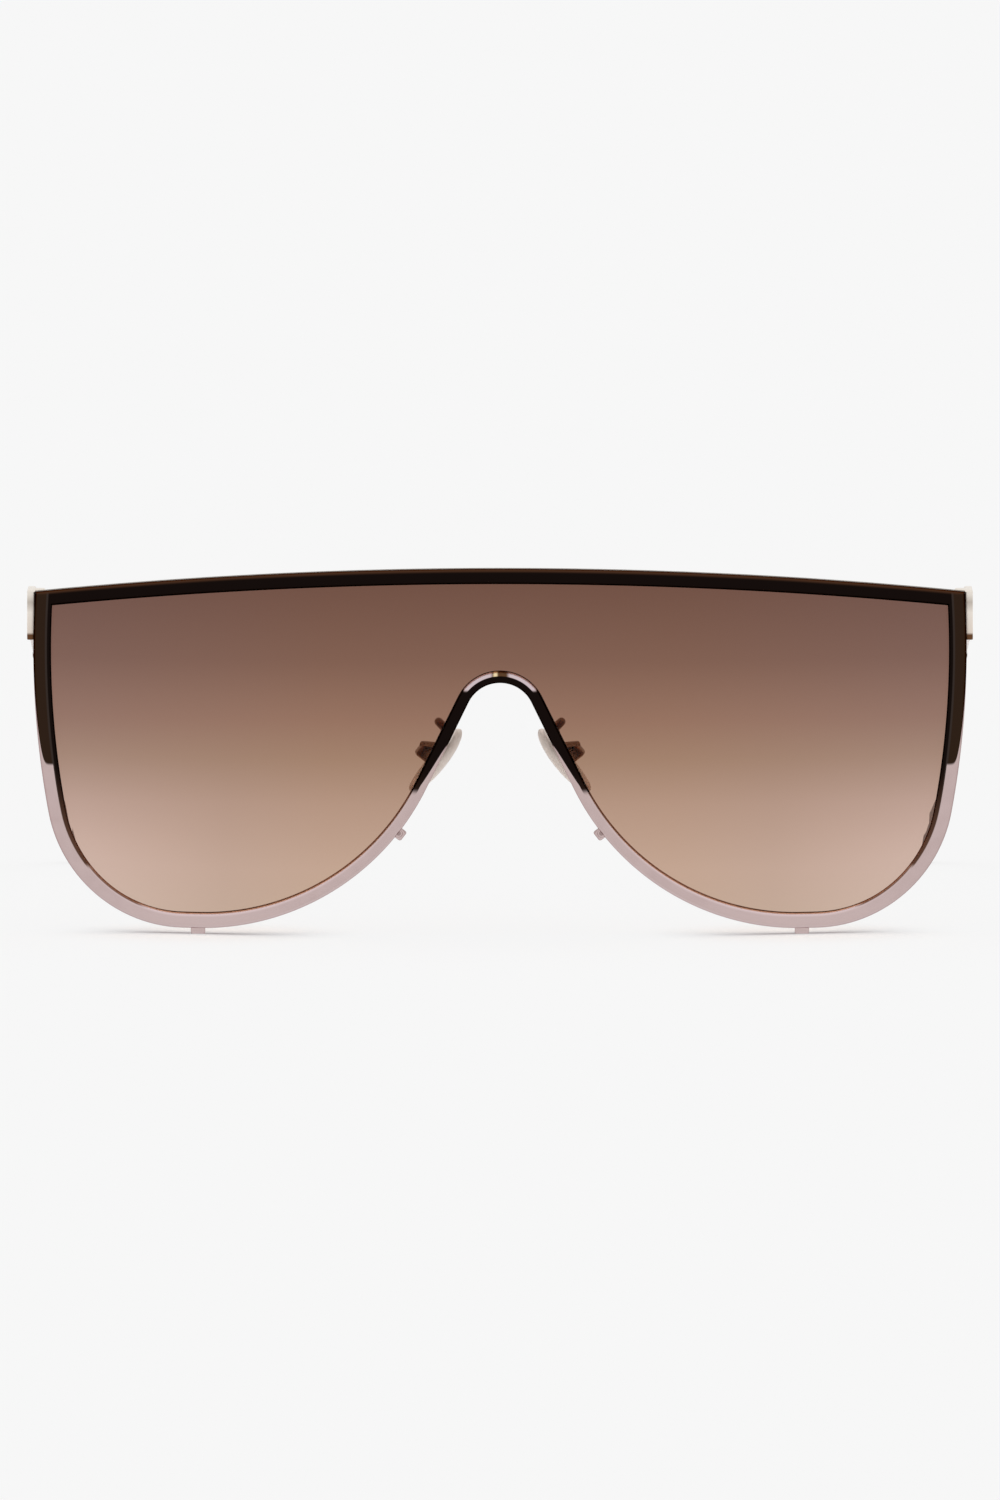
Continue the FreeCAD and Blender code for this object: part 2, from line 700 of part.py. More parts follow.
lug = box("core_lug", ("-lug_length / 2", "lug_length / 2"), ("-lug_width / 2", "lug_width / 2"),
          ("-pad_base - lug_reach", "-pad_base"))
lug_bore = cross_rod("lug_bore", "pad_screw_radius + running_clearance", "-box_length", "box_length")
pad_core_left = cut("pad_core_left", fuse("pad_core_blank", core_plate, lug), lug_bore)

# Pad box and its screw
# A channel that takes the lug between two cheeks, open towards the pad.
cheek_inner = "lug_width / 2 + lug_clearance"
cheek_outer = f"{cheek_inner} + box_wall"
box_top = "-pad_base - box_gap"
box_block = box("pad_box_block", ("-box_length / 2", "box_length / 2"),
                (f"-({cheek_outer})", cheek_outer), (f"{box_top} - box_depth", box_top))
box_slot = box("pad_box_slot", ("-box_length", "box_length"), (f"-({cheek_inner})", cheek_inner),
               (f"{box_top} - box_depth + box_wall", f"{box_top} + overrun"))
box_bore = cross_rod("pad_box_bore", "pad_screw_radius + running_clearance", "-box_length", "box_length")
pad_box_left = cut("pad_box_left", box_block, box_slot, box_bore)
pad_screw_left = fuse("pad_screw_left",
                      cross_rod("pad_screw_shank", "pad_screw_radius", f"-({cheek_outer})", cheek_outer),
                      cross_rod("pad_screw_head", "pad_head_radius", cheek_outer,
                                f"{cheek_outer} + pad_head_height"))
for piece in (nose_pad_left, pad_core_left, pad_box_left, pad_screw_left):
    piece.Placement = pad_place

# Pad arm
# A wire that stands off the back of the bridge's leg, turns up and out to a tight bend, comes back
# behind itself, drops along the leg and crosses to the end of the box's floor.
doc.recompute()
half_inset = lower_band / 2
half_shift = nose_shift(half_inset)
leg_centre = lower_centre - Vector(half_shift, 0, 0)
leg_radius = size("lower_radius") - half_inset
arch_middle = size("arch_radius") + half_inset - half_shift
leg_turn = arch_leg(leg_centre, leg_radius, arch_middle)
leg_low = on_circle(leg_centre, leg_radius, leg_turn)
leg_top = on_circle(arch_centre, arch_middle, leg_turn + math.pi)
root_share = (size("arm_root_height") - leg_low.y) / (leg_top.y - leg_low.y)
root_x = leg_low.x + (leg_top.x - leg_low.x) * root_share
arm_root = Vector(root_x, rim_middle_y(root_x), size("arm_root_height"))
box_floor = -size("pad_base") - size("box_gap") - size("box_depth") + size("box_wall") / 2
arm_end = pad_place.multVec(Vector(-size("box_length") / 2 + size("box_wall"), 0, box_floor))
arm_stand = arm_root + Vector(0, size("arm_stand"), 0)
arm_knee = arm_stand + Vector(size("arm_reach"), size("arm_back"), size("arm_rise"))
arm_return = arm_stand + Vector(size("arm_offset"), size("arm_loop"), size("arm_offset"))
arm_turn = arm_stand + Vector(size("arm_side"), size("arm_fold"), -size("arm_drop"))
arm_points = [arm_root, arm_stand, arm_knee, arm_return, arm_turn, arm_end]


def bend(before, corner, after):
    # The first, middle and last point of an arc that rounds a corner of the wire.
    way_in = (before - corner).normalize()
    way_out = (after - corner).normalize()
    half_turn = way_in.getAngle(way_out) / 2
    tangent = size("arm_bend") / math.tan(half_turn)
    middle = (way_in + way_out).normalize() * (size("arm_bend") / math.sin(half_turn) - size("arm_bend"))
    return corner + way_in * tangent, corner + middle, corner + way_out * tangent


arm_edges = []
straight_start = arm_root
for before, corner, after in zip(arm_points, arm_points[1:], arm_points[2:]):
    first, middle, last = bend(before, corner, after)
    arm_edges += [line(straight_start, first).toShape(), Part.Arc(first, middle, last).toShape()]
    straight_start = last
arm_edges.append(line(straight_start, arm_end).toShape())
arm_line = doc.addObject("Part::Feature", "pad_arm_line")
arm_line.Shape = Part.Wire(arm_edges)
arm_round = doc.addObject("Part::Circle", "pad_arm_round")
bind(arm_round, Radius="arm_radius")
arm_round.Placement = FreeCAD.Placement(arm_root, FreeCAD.Rotation(Vector(0, 0, 1), arm_stand - arm_root))
arm_wire = doc.addObject("Part::Sweep", "pad_arm_wire")
arm_wire.Sections = [arm_round]
arm_wire.Spine = (arm_line, [f"Edge{number}" for number in range(1, len(arm_edges) + 1)])
arm_wire.Solid = True
box_hull = doc.addObject("Part::Compound", "pad_box_hull")
box_hull.Links = [box_block]
box_hull.Placement = pad_place
pad_arm_left = cut("pad_arm_left", arm_wire, rim_blank, box_hull)

# All pieces
# What is made once for the wearer's left is mirrored for the right.
pieces = [shield_lens, brow_rim, bridge_rim, lower_rim_left, lower_rim_right, rim_lock_screws]
for left in (end_piece_left, hinge_front_left, hinge_screw_left, hinge_washers_left,
             hinge_rear_left, temple_left, temple_tip_left,
             pad_arm_left, pad_box_left, pad_screw_left, pad_core_left, nose_pad_left):
    pieces += [left, mirrored(left.Name.replace("_left", "_right"), left)]
doc.recompute()

for thing in doc.Objects:
    faults = {"Invalid", "Error"} & set(thing.State)
    if faults:
        raise RuntimeError(f"{thing.Name}: {faults}")

os.makedirs("parts", exist_ok=True)
for piece in pieces:
    piece.Label = piece.Name
    shape = piece.Shape
    if shape.isNull() or not shape.isValid() or not shape.Solids:
        raise RuntimeError(f"{piece.Label} is not a sound solid")
    print(f"{piece.Label}: {len(shape.Solids)} solids, {shape.Volume:.2f} mm3, box {shape.BoundBox}")
    shape.exportStep(f"parts/{piece.Label}.step")
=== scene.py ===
import bmesh
import bpy
import json
import math
from mathutils import Matrix, Vector
from mathutils.bvhtree import BVHTree


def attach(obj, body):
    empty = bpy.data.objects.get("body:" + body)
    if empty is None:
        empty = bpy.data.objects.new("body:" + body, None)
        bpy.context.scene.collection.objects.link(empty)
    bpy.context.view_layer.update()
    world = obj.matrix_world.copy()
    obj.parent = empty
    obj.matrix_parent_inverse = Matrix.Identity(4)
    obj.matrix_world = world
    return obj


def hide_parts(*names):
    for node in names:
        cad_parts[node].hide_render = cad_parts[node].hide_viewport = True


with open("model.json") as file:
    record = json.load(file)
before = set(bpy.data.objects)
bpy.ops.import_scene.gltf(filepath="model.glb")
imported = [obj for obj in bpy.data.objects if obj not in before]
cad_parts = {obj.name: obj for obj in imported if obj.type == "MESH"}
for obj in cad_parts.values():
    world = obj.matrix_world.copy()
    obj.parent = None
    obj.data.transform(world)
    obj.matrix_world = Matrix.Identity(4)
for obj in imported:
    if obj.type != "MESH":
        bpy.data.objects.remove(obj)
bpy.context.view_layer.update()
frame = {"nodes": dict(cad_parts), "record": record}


# Shield lens
# One sheet of polycarbonate in front of both eyes, bent to a round and dip-dyed so that the brown
# is deep at the brow and thin at the cheeks. Its ground edge sits in the groove of the rim.

# Lengths are in millimetres all through, and a finished piece is scaled to metres.
MM = 0.001
SAME_SPOT = 0.0005
SHARP_ANGLE = math.radians(40)
FRONT_RADIUS = 175.0
OVERALL_DEPTH = 158.0
FACE_Y = -OVERALL_DEPTH / 2
RIM_WIDTH = 143.2
# How wide the rim is at the brow, at the sides and below, and how much thinner beside the nose.
RIM_BANDS = (2.35, 2.75, 2.35)
NOSE_THINNING = 0.55
BROW_TOP = 56.43
BROW_RADIUS = 569.0
SIDE_RADIUS = 135.0
SIDE_HEIGHT = 43.05
FLOOR_RADIUS = 1000.0
FOOT_HEIGHT = 0.9
ARCH_TOP = 38.94
LENS_FACE = 1.0
LENS_BACK = 2.8
LENS_GRIP = 0.6
LENS_STRIP = 1.2

# What grows with the width of the rim, as shares of it.
LOWEST_SPREAD_SHARE = 0.6462
LOWER_RADIUS_SHARE = 0.2721
CORNER_RADIUS_SHARE = 0.1471
ARCH_RADIUS_SHARE = 0.0374
LOWEST_X = RIM_WIDTH * LOWEST_SPREAD_SHARE / 2
LOWER_RADIUS = RIM_WIDTH * LOWER_RADIUS_SHARE
CORNER_RADIUS = RIM_WIDTH * CORNER_RADIUS_SHARE
ARCH_RADIUS = RIM_WIDTH * ARCH_RADIUS_SHARE

# Steps that each arc of half the outline is drawn in, and the straight leg beside the nose.
BROW_STEPS = 60
SIDE_STEPS = 36
CORNER_STEPS = 28
FLOOR_STEPS = 6
LOWER_STEPS = 48
LEG_STEPS = 12
ARCH_STEPS = 24

brow_centre = Vector((0, BROW_TOP - BROW_RADIUS))
side_centre = Vector((RIM_WIDTH / 2 - SIDE_RADIUS, SIDE_HEIGHT))
floor_centre = Vector((LOWEST_X, FOOT_HEIGHT + FLOOR_RADIUS))
lower_centre = Vector((LOWEST_X, FOOT_HEIGHT + LOWER_RADIUS))
arch_centre = Vector((0, ARCH_TOP - ARCH_RADIUS))
lowest_angle = -math.pi / 2


def where_circles_meet(first, first_radius, second, second_radius, side):
    # The meeting point on the left (side 1) or right (side -1) of the way from first to second.
    way = second - first
    along = (first_radius ** 2 - second_radius ** 2 + way.length ** 2) / (2 * way.length)
    across = math.sqrt(first_radius ** 2 - along ** 2)
    way.normalize()
    return first + way * along + Vector((-way.y, way.x)) * (side * across)


def heading(start, stop):
    # The angle of the way from one point to another.
    return math.atan2(stop.y - start.y, stop.x - start.x)


def outline(bm, insets, depth):
    # Draws a closed line round the flat front, inset from the rim's outer edge at the brow, the sides
    # and below, and returns its edges. One half is turned out of a single point, arc by arc. The rim
    # thins towards the nose, so its inner lines are drawn round centres that lie nearer to it.
    brow_inset, side_inset, lower_inset = insets
    brow = BROW_RADIUS - brow_inset
    side = SIDE_RADIUS - side_inset
    corner = CORNER_RADIUS - (side_inset + lower_inset) / 2
    floor = FLOOR_RADIUS - lower_inset
    lower = LOWER_RADIUS - lower_inset
    shift = Vector((NOSE_THINNING * lower_inset / RIM_BANDS[-1], 0))
    arch = ARCH_RADIUS + lower_inset - shift.x
    floor_middle = floor_centre - shift
    lower_middle = lower_centre - shift
    top_corner = where_circles_meet(brow_centre, brow, side_centre, side, -1)
    corner_centre = where_circles_meet(floor_middle, floor - corner, side_centre, side - corner, 1)
    turn_angle = heading(side_centre, corner_centre)
    floor_angle = heading(floor_middle, corner_centre)
    reach = math.acos((lower + arch) / (arch_centre - lower_middle).length)
    leg_angle = heading(lower_middle, arch_centre) + reach
    leg = Vector((math.cos(leg_angle), math.sin(leg_angle)))
    leg_way = arch_centre - leg * arch - lower_middle - leg * lower

    arcs = [
        (brow_centre, math.pi / 2, heading(brow_centre, top_corner), BROW_STEPS),
        (side_centre, heading(side_centre, top_corner), turn_angle, SIDE_STEPS),
        (corner_centre, turn_angle, floor_angle, CORNER_STEPS),
        (floor_middle, floor_angle, lowest_angle, FLOOR_STEPS),
        (lower_middle, lowest_angle, leg_angle, LOWER_STEPS),
        (None, leg_way, None, LEG_STEPS),
        (arch_centre, leg_angle + math.pi, math.pi / 2, ARCH_STEPS),
    ]
    known_edges = set(bm.edges)
    last = bm.verts.new((0, depth, BROW_TOP - brow_inset))
    for centre, start, stop, steps in arcs:
        if centre is None:
            step = Vector((start.x, 0, start.y)) / steps
            made = bmesh.ops.spin(bm, geom=[last], cent=(0, 0, 0), axis=(0, 1, 0), dvec=step,
                                  angle=0, steps=steps)
        else:
            made = bmesh.ops.spin(bm, geom=[last], cent=(centre.x, depth, centre.y), axis=(0, 1, 0),
                                  angle=start - stop, steps=steps)
        last = next(item for item in made["geom_last"] if isinstance(item, bmesh.types.BMVert))
    last.co.x = 0
    half = [edge for edge in bm.edges if edge not in known_edges]
    points = list(dict.fromkeys(vert for edge in half for vert in edge.verts))
    bmesh.ops.mirror(bm, geom=points + half, matrix=Matrix.Identity(4), merge_dist=SAME_SPOT, axis="X")
    return [edge for edge in bm.edges if edge not in known_edges]


def wrap(bm):
    # Bends a flat front round the upright drum that its face lies on.
    for vert in bm.verts:
        radius = FRONT_RADIUS - vert.co.y
        vert.co.y = FACE_Y + FRONT_RADIUS - math.sqrt(radius ** 2 - vert.co.x ** 2)


def as_piece(bm, name, material, body, replaced):
    # Makes a finished piece of a mesh drawn in millimetres, smooth but for its sharp edges. It moves
    # with a body and stands in for one of its solids.
    bmesh.ops.scale(bm, vec=(MM, MM, MM), verts=bm.verts)
    bmesh.ops.recalc_face_normals(bm, faces=bm.faces)
    mesh = bpy.data.meshes.new(name)
    bm.to_mesh(mesh)
    bm.free()
    mesh.shade_smooth()
    mesh.set_sharp_from_angle(angle=SHARP_ANGLE)
    mesh.materials.append(material)
    piece = bpy.data.objects.new(name, mesh)
    bpy.context.scene.collection.objects.link(piece)
    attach(piece, body)
    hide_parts(replaced)
    return piece


def linear(hex_colour):
    # sRGB hex to the linear colour that shaders take.
    shares = [int(hex_colour[start:start + 2], 16) / 255 for start in (1, 3, 5)]
    return [c / 12.92 if c <= 0.04045 else ((c + 0.055) / 1.055) ** 2.4 for c in shares] + [1.0]


def new_material(name):
    # A material with no nodes yet.
    material = bpy.data.materials.new(name)
    material.use_nodes = True
    material.node_tree.nodes.clear()
    return material


def node(material, kind, inputs=None, stops=None, **settings):
    # Adds a node and returns its outputs: settings are its properties, inputs its values or links by
    # name or number, stops the colours of a ramp.
    tree = material.node_tree
    made = tree.nodes.new(kind)
    for name, value in settings.items():
        setattr(made, name, value)
    for socket, value in (inputs or {}).items():
        if isinstance(value, bpy.types.NodeSocket):
            tree.links.new(value, made.inputs[socket])
        else:
            made.inputs[socket].default_value = value
    if stops:
        ramp = made.color_ramp.elements
        while len(ramp) < len(stops):
            ramp.new(1.0)
        for element, (position, colour) in zip(ramp, stops):
            element.position = position
            element.color = linear(colour)
    return made.outputs


def in_millimetres(material):
    # Where a point lies, in millimetres: its place, the axes of it, and how far it is from the middle.
    place = node(material, "ShaderNodeTexCoord")["Object"]
    in_mm = node(material, "ShaderNodeVectorMath", {0: place, "Scale": 1 / MM}, operation="SCALE")[0]
    axes = node(material, "ShaderNodeSeparateXYZ", {"Vector": in_mm})
    from_middle = node(material, "ShaderNodeMath", {0: axes["X"]}, operation="ABSOLUTE")[0]
    return in_mm, axes, from_middle


def layered(material, colour, layers):
    # A colour with others over it, each with the share of it that shows. The colours of a mix are its
    # inputs 6 and 7 and its output 2.
    for over, share in layers:
        colour = node(material, "ShaderNodeMix", {0: share, 6: colour, 7: over}, data_type="RGBA")[2]
    return colour


# Dyed polycarbonate: smooth and glossy, with the dye thinning out downwards; it is paler yet towards the
# outer cheeks low down, and cooler towards the sides. Wiping leaves patches of the faintest haze, and
# bending leaves shallow waves. A coat keeps reflections down, and the light of a lamp passes nearly
# clear.
LENS_COAT = linear("#6B6B6B")
LAMP_CAST = linear("#FBF8F5")
LENS_IOR = 1.5
DYE_HEIGHTS = (4.0, 54.0)
DYE_STOPS = [
    (0.00, "#CCAF9C"),
    (0.12, "#CBAC9A"),
    (0.32, "#BC9B89"),
    (0.46, "#A98773"),
    (0.58, "#9C7766"),
    (0.76, "#866355"),
    (1.00, "#755347"),
]
CAST_SPREAD = (26.0, 64.0)
MIDDLE_CAST = (0.985, 0.985, 0.95, 1.0)
SIDE_CAST = (0.965, 1.02, 1.1, 1.0)
CHEEK_SPREAD = (42.0, 66.0)
CHEEK_HEIGHTS = (32.0, 14.0)
CHEEK_LIFT = 0.18
HAZE_PATCH = 9.0
HAZE_SHARES = (0.45, 0.75)
HAZE_ROUGHNESS = 0.04
WAVE_HEIGHT = 0.02
WAVE_STRENGTH = 0.3
dyed_sheet = new_material("dyed polycarbonate")
in_mm, axes, from_middle = in_millimetres(dyed_sheet)
level, sideways, outwards, downwards = [
    node(dyed_sheet, "ShaderNodeMapRange",
         {"Value": value, "From Min": start, "From Max": full})["Result"]
    for value, (start, full) in (
        (axes["Z"], DYE_HEIGHTS),
        (from_middle, CAST_SPREAD),
        (from_middle, CHEEK_SPREAD),
        (axes["Z"], CHEEK_HEIGHTS))]
cheek = node(dyed_sheet, "ShaderNodeMath", {0: outwards, 1: downwards}, operation="MULTIPLY")[0]
lift = node(dyed_sheet, "ShaderNodeMath", {0: cheek, 1: CHEEK_LIFT}, operation="MULTIPLY")[0]
paler = node(dyed_sheet, "ShaderNodeMath", {0: lift, 1: 1.0}, operation="ADD")[0]
dye = node(dyed_sheet, "ShaderNodeValToRGB", {"Fac": level}, stops=DYE_STOPS)["Color"]
dye = node(dyed_sheet, "ShaderNodeVectorMath", {0: dye, "Scale": paler}, operation="SCALE")["Vector"]
cast = layered(dyed_sheet, MIDDLE_CAST, [(SIDE_CAST, sideways)])
dye = node(dyed_sheet, "ShaderNodeVectorMath", {0: dye, 1: cast}, operation="MULTIPLY")["Vector"]
patch = node(dyed_sheet, "ShaderNodeTexNoise", {"Vector": in_mm, "Scale": 1 / HAZE_PATCH})[0]
haze = node(dyed_sheet, "ShaderNodeMapRange",
            {"Value": patch, "From Min": HAZE_SHARES[0], "From Max": HAZE_SHARES[1],
             "To Max": HAZE_ROUGHNESS})["Result"]
waves = node(dyed_sheet, "ShaderNodeBump",
             {"Height": patch, "Strength": WAVE_STRENGTH, "Distance": WAVE_HEIGHT * MM})["Normal"]
sheet = node(dyed_sheet, "ShaderNodeBsdfPrincipled",
             {"Base Color": dye, "Roughness": haze, "IOR": LENS_IOR, "Transmission Weight": 1.0,
              "Specular Tint": LENS_COAT, "Normal": waves})["BSDF"]
lamp_way = node(dyed_sheet, "ShaderNodeBsdfTransparent", {"Color": LAMP_CAST})["BSDF"]
is_lamp = node(dyed_sheet, "ShaderNodeLightPath")["Is Shadow Ray"]
passed = node(dyed_sheet, "ShaderNodeMixShader", {0: is_lamp, 1: sheet, 2: lamp_way})["Shader"]
node(dyed_sheet, "ShaderNodeOutputMaterial", {"Surface": passed})

lens = bmesh.new()
lens_insets = [band - LENS_GRIP for band in RIM_BANDS]
lens_edges = [outline(lens, lens_insets, depth) for depth in (LENS_FACE, LENS_BACK)]
bmesh.ops.bridge_loops(lens, edges=lens_edges[0] + lens_edges[1])
for edges in lens_edges:
    bmesh.ops.contextual_create(lens, geom=edges)
strips = int(RIM_WIDTH / LENS_STRIP)
for strip in range(1, strips):
    x = (strip / strips - 0.5) * RIM_WIDTH
    bmesh.ops.bisect_plane(lens, geom=lens.verts[:] + lens.edges[:] + lens.faces[:],
                           plane_co=(x, 0, 0), plane_no=(1, 0, 0), dist=SAME_SPOT)
wrap(lens)
as_piece(lens, "lens_sheet", dyed_sheet, "front", "shield_lens")


# Rim
# Drawn rim wire of nickel silver in four lengths, grooved for the lens, plated rose and polished.
# Over the upper part and the bridge a near-black is painted in, as a painted reflection of dark
# surroundings, and it stops above the cheeks.
RIM_DEPTH = 3.4
GROOVE_CLEARANCE = 0.05
OUTER_ROUND = 0.7
INNER_ROUND = 0.85
BACK_ROUND = 0.3
ROUND_STEPS = 6
LOCK_ANGLE = math.radians(52)
SIDES = ((1, "left"), (-1, "right"))
# Bands that the rim's colours follow, painted light among them: the outside, the face, the side by the
# lens and the dimple of a lock.
OUTER_BAND, FACE_BAND, LENS_BAND, DIMPLE_BAND = 0.0, 1.0, 2.0, 3.0

outer_insets = (0, 0, 0)
groove_insets = [inset - GROOVE_CLEARANCE for inset in lens_insets]
groove_face = LENS_FACE - GROOVE_CLEARANCE
groove_back = LENS_BACK + GROOVE_CLEARANCE
# The lines of the rim's section, each with its insets, its depth and the band of the wall to the next.
section = {
    "outer front": (outer_insets, 0, FACE_BAND),
    "inner front": (RIM_BANDS, 0, LENS_BAND),
    "front lip": (RIM_BANDS, groove_face, LENS_BAND),
    "groove front": (groove_insets, groove_face, LENS_BAND),
    "groove back": (groove_insets, groove_back, LENS_BAND),
    "back lip": (RIM_BANDS, groove_back, FACE_BAND),
    "inner back": (RIM_BANDS, RIM_DEPTH, FACE_BAND),
    "outer back": (outer_insets, RIM_DEPTH, OUTER_BAND),
}
next_lines = list(section)[1:] + list(section)[:1]
# Each line is drawn well apart from the next, joined up, then set at its depth.
DRAWN_APART = 20.0
ring = bmesh.new()
band = ring.faces.layers.float.new("band")
from_edge = ring.verts.layers.float.new("from_edge")
from_lens = ring.verts.layers.float.new("from_lens")
from_side = ring.verts.layers.float.new("from_side")
lines = {}
for number, (name, (insets, _, _)) in enumerate(section.items()):
    lines[name] = outline(ring, insets, DRAWN_APART * number)
walls = {}
for (name, (_, _, wall_band)), next_name in zip(section.items(), next_lines):
    walls[name] = bmesh.ops.bridge_loops(ring, edges=lines[name] + lines[next_name])["faces"]
    for face in walls[name]:
        face[band] = wall_band
for name, (_, depth, _) in section.items():
    for edge in lines[name]:
        for vert in edge.verts:
            vert.co.y = depth
bmesh.ops.recalc_face_normals(ring, faces=ring.faces)


def as_surface(faces):
    # What the distance to some faces is measured on.
    verts = list(dict.fromkeys(vert for face in faces for vert in face.verts))
    number_of = {vert: number for number, vert in enumerate(verts)}
    return BVHTree.FromPolygons([vert.co.copy() for vert in verts],
                                [[number_of[vert] for vert in face.verts] for face in faces])


outer_wall = as_surface(walls["outer back"])
lens_wall = as_surface(walls["inner front"])
for name, offset, round_band in (
        ("outer front", OUTER_ROUND, OUTER_BAND),
        ("inner front", INNER_ROUND, LENS_BAND),
        ("inner back", BACK_ROUND, FACE_BAND),
        ("outer back", BACK_ROUND, OUTER_BAND)):
    rounded = bmesh.ops.bevel(ring, geom=lines[name], offset=offset, offset_type="OFFSET",
                              affect="EDGES", segments=ROUND_STEPS, profile=0.5, material=-1,
                              clamp_overlap=False)
    for face in rounded["faces"]:
        face[band] = round_band
for vert in ring.verts:
    side_x = RIM_WIDTH / 2 - (vert.co.z - SIDE_HEIGHT) ** 2 / (2 * SIDE_RADIUS)
    vert[from_edge] = outer_wall.find_nearest(vert.co)[-1]
    vert[from_lens] = lens_wall.find_nearest(vert.co)[-1]
    vert[from_side] = side_x - abs(vert.co.x)

# The ring is sawn at the lowest points of the rim and beside the nose.
nose_angle = lowest_angle - LOCK_ANGLE
foot_along = Vector((1, 0))
nose_along = Vector((-math.sin(nose_angle), math.cos(nose_angle)))
bridge_top = (ARCH_TOP + BROW_TOP) / 2
for side, _ in SIDES:
    for along in (foot_along, nose_along):
        bmesh.ops.bisect_plane(ring, geom=ring.verts[:] + ring.edges[:] + ring.faces[:],
                               plane_co=(lower_centre.x * side, 0, lower_centre.y),
                               plane_no=(along.x * side, 0, along.y))


def rim_length(face):
    # The length of rim that a face belongs to.
    centre = face.calc_center_median()
    spot = Vector((abs(centre.x), centre.z))
    if spot.x > LOWEST_X or spot.y > bridge_top:
        return "brow_rim"
    if (spot - lower_centre).dot(nose_along) < 0:
        return "bridge_rim"
    return "lower_rim_left" if centre.x > 0 else "lower_rim_right"


def shown_where(material, *limits):
    # The share of a finish where all limits hold: each is a value, where it starts and where it is full.
    share = 1.0
    for value, start, full in limits:
        step = node(material, "ShaderNodeMapRange",
                    {"Value": value, "From Min": start, "From Max": full},
                    interpolation_type="SMOOTHSTEP")["Result"]
        share = node(material, "ShaderNodeMath", {0: share, 1: step}, operation="MULTIPLY")[0]
    return share


# Rose plated nickel silver. Over it a near-black is painted in, a painted reflection of dark
# surroundings, which meets the rose in a line that climbs along the outer edge and runs slantwise across
# the legs of the bridge. The painted dark turns browner where it stands in for reflections on the sides
# and up-facing outer edges, painted shade lines run along the edge beside the lens, and painted
# highlights and a glint lie on the top of the bridge. Polishing leaves faint ripples.
ROSE = linear("#CDB8B6")
ROSE_DEEP = linear("#C1ABA9")
# Painted reflection: a slightly darker rose low down by the foot, where the rim reflects the table close
# by.
ROSE_FOOT_REFLECTION = linear("#CCB7B5")
# Painted: down-facing edges get a slightly lighter rose, to make up for the darker table that they
# reflect.
ROSE_SHADE = linear("#D1BDBC")
# Painted highlight: a lighter rose on up-facing edges beside the lens.
ROSE_HIGHLIGHT = linear("#DFC9CA")
# Painted reflection: the near-black that stands in for dark surroundings seen in the polished metal.
PAINTED_DARK_REFLECTION = linear("#160F0D")
# Painted reflection: a browner dark on the outer sides.
SIDE_REFLECTION = linear("#302219")
# Painted highlight: a lighter line along the sides where an edge of the rim catches the light.
SIDE_HIGHLIGHT_LINE = linear("#372E2A")
# Painted reflection: browner on the up-facing outer edges of the brow and the sides.
UP_EDGE_REFLECTION = linear("#492F21")
# Painted reflection: the dark on the side by the lens, browner lower down where it fades.
FADING_DARK_REFLECTION = linear("#5A3E31")
# Painted shade: a thin line in the groove beside the lens, low down and on the bridge legs.
LENS_GROOVE_SHADE = linear("#AE9488")
# The same painted shade line beside the lens at the outer cheeks.
CHEEK_GROOVE_SHADE = linear("#7E6052")
# Painted reflection: brown on the up-facing top of the bridge.
CAP_REFLECTION = linear("#5E422C")
# Painted highlights on the shoulders of the bridge.
SHOULDER_HIGHLIGHT = linear("#D4C2C6")
# Painted glint: a small bright spot on the bridge.
GLINT = linear("#F4DDB0")
# Painted shade: a darker rose in the dimple of a nose lock's bead.
DIMPLE_SHADE = linear("#A08B89")
ROSE_SHEEN = linear("#BFB0B0")
# The edge tint of reflections where the painted dark lies.
DARK_PART_SHEEN = linear("#8A7358")
# The line where the painted dark reflection stops: its height, how far it climbs at the outer edge,
# over what reach, and the power that its climb falls off with.
SIDE_LINE = (25.5, 16.0, 0.18, 1)
NOSE_LINE = (22.0, 7.4, 0.75, 2)
DARK_BAND_TAPER = 0.025
# How far in from the side the painted highlight line runs.
HIGHLIGHT_LINE_AT = 1.95
GLINT_AT = -0.7
RIPPLE = 2.5
RIPPLE_DETAIL = 3.0
RIPPLE_HEIGHT = 0.01
RIPPLE_STRENGTH = 0.1
RIM_ROUGHNESS = (0.14, 0.24)
plating = new_material("rose plated nickel silver with painted dark reflection")
in_mm, axes, from_middle = in_millimetres(plating)
height = axes["Z"]
facing = node(plating, "ShaderNodeNewGeometry")["Normal"]
upward = node(plating, "ShaderNodeSeparateXYZ", {"Vector": facing})["Z"]
band_at, edge_at, lens_at, side_at = [
    node(plating, "ShaderNodeAttribute", attribute_name=name)["Fac"]
    for name in ("band", "from_edge", "from_lens", "from_side")]
# How far from the lens the painted dark reflection on the sides reaches: wider higher up.
dark_band_widening = node(plating, "ShaderNodeMath", {0: height, 1: DARK_BAND_TAPER}, operation="MULTIPLY")[0]
dark_band_room = node(plating, "ShaderNodeMath", {0: lens_at, 1: dark_band_widening}, operation="SUBTRACT")[0]
off_highlight_line = node(plating, "ShaderNodeMath", {0: side_at, 1: HIGHLIGHT_LINE_AT}, operation="SUBTRACT")[0]
off_highlight_line = node(plating, "ShaderNodeMath", {0: off_highlight_line}, operation="ABSOLUTE")[0]
off_glint = node(plating, "ShaderNodeMath", {0: axes["X"], 1: GLINT_AT}, operation="SUBTRACT")[0]
off_glint = node(plating, "ShaderNodeMath", {0: off_glint}, operation="ABSOLUTE")[0]

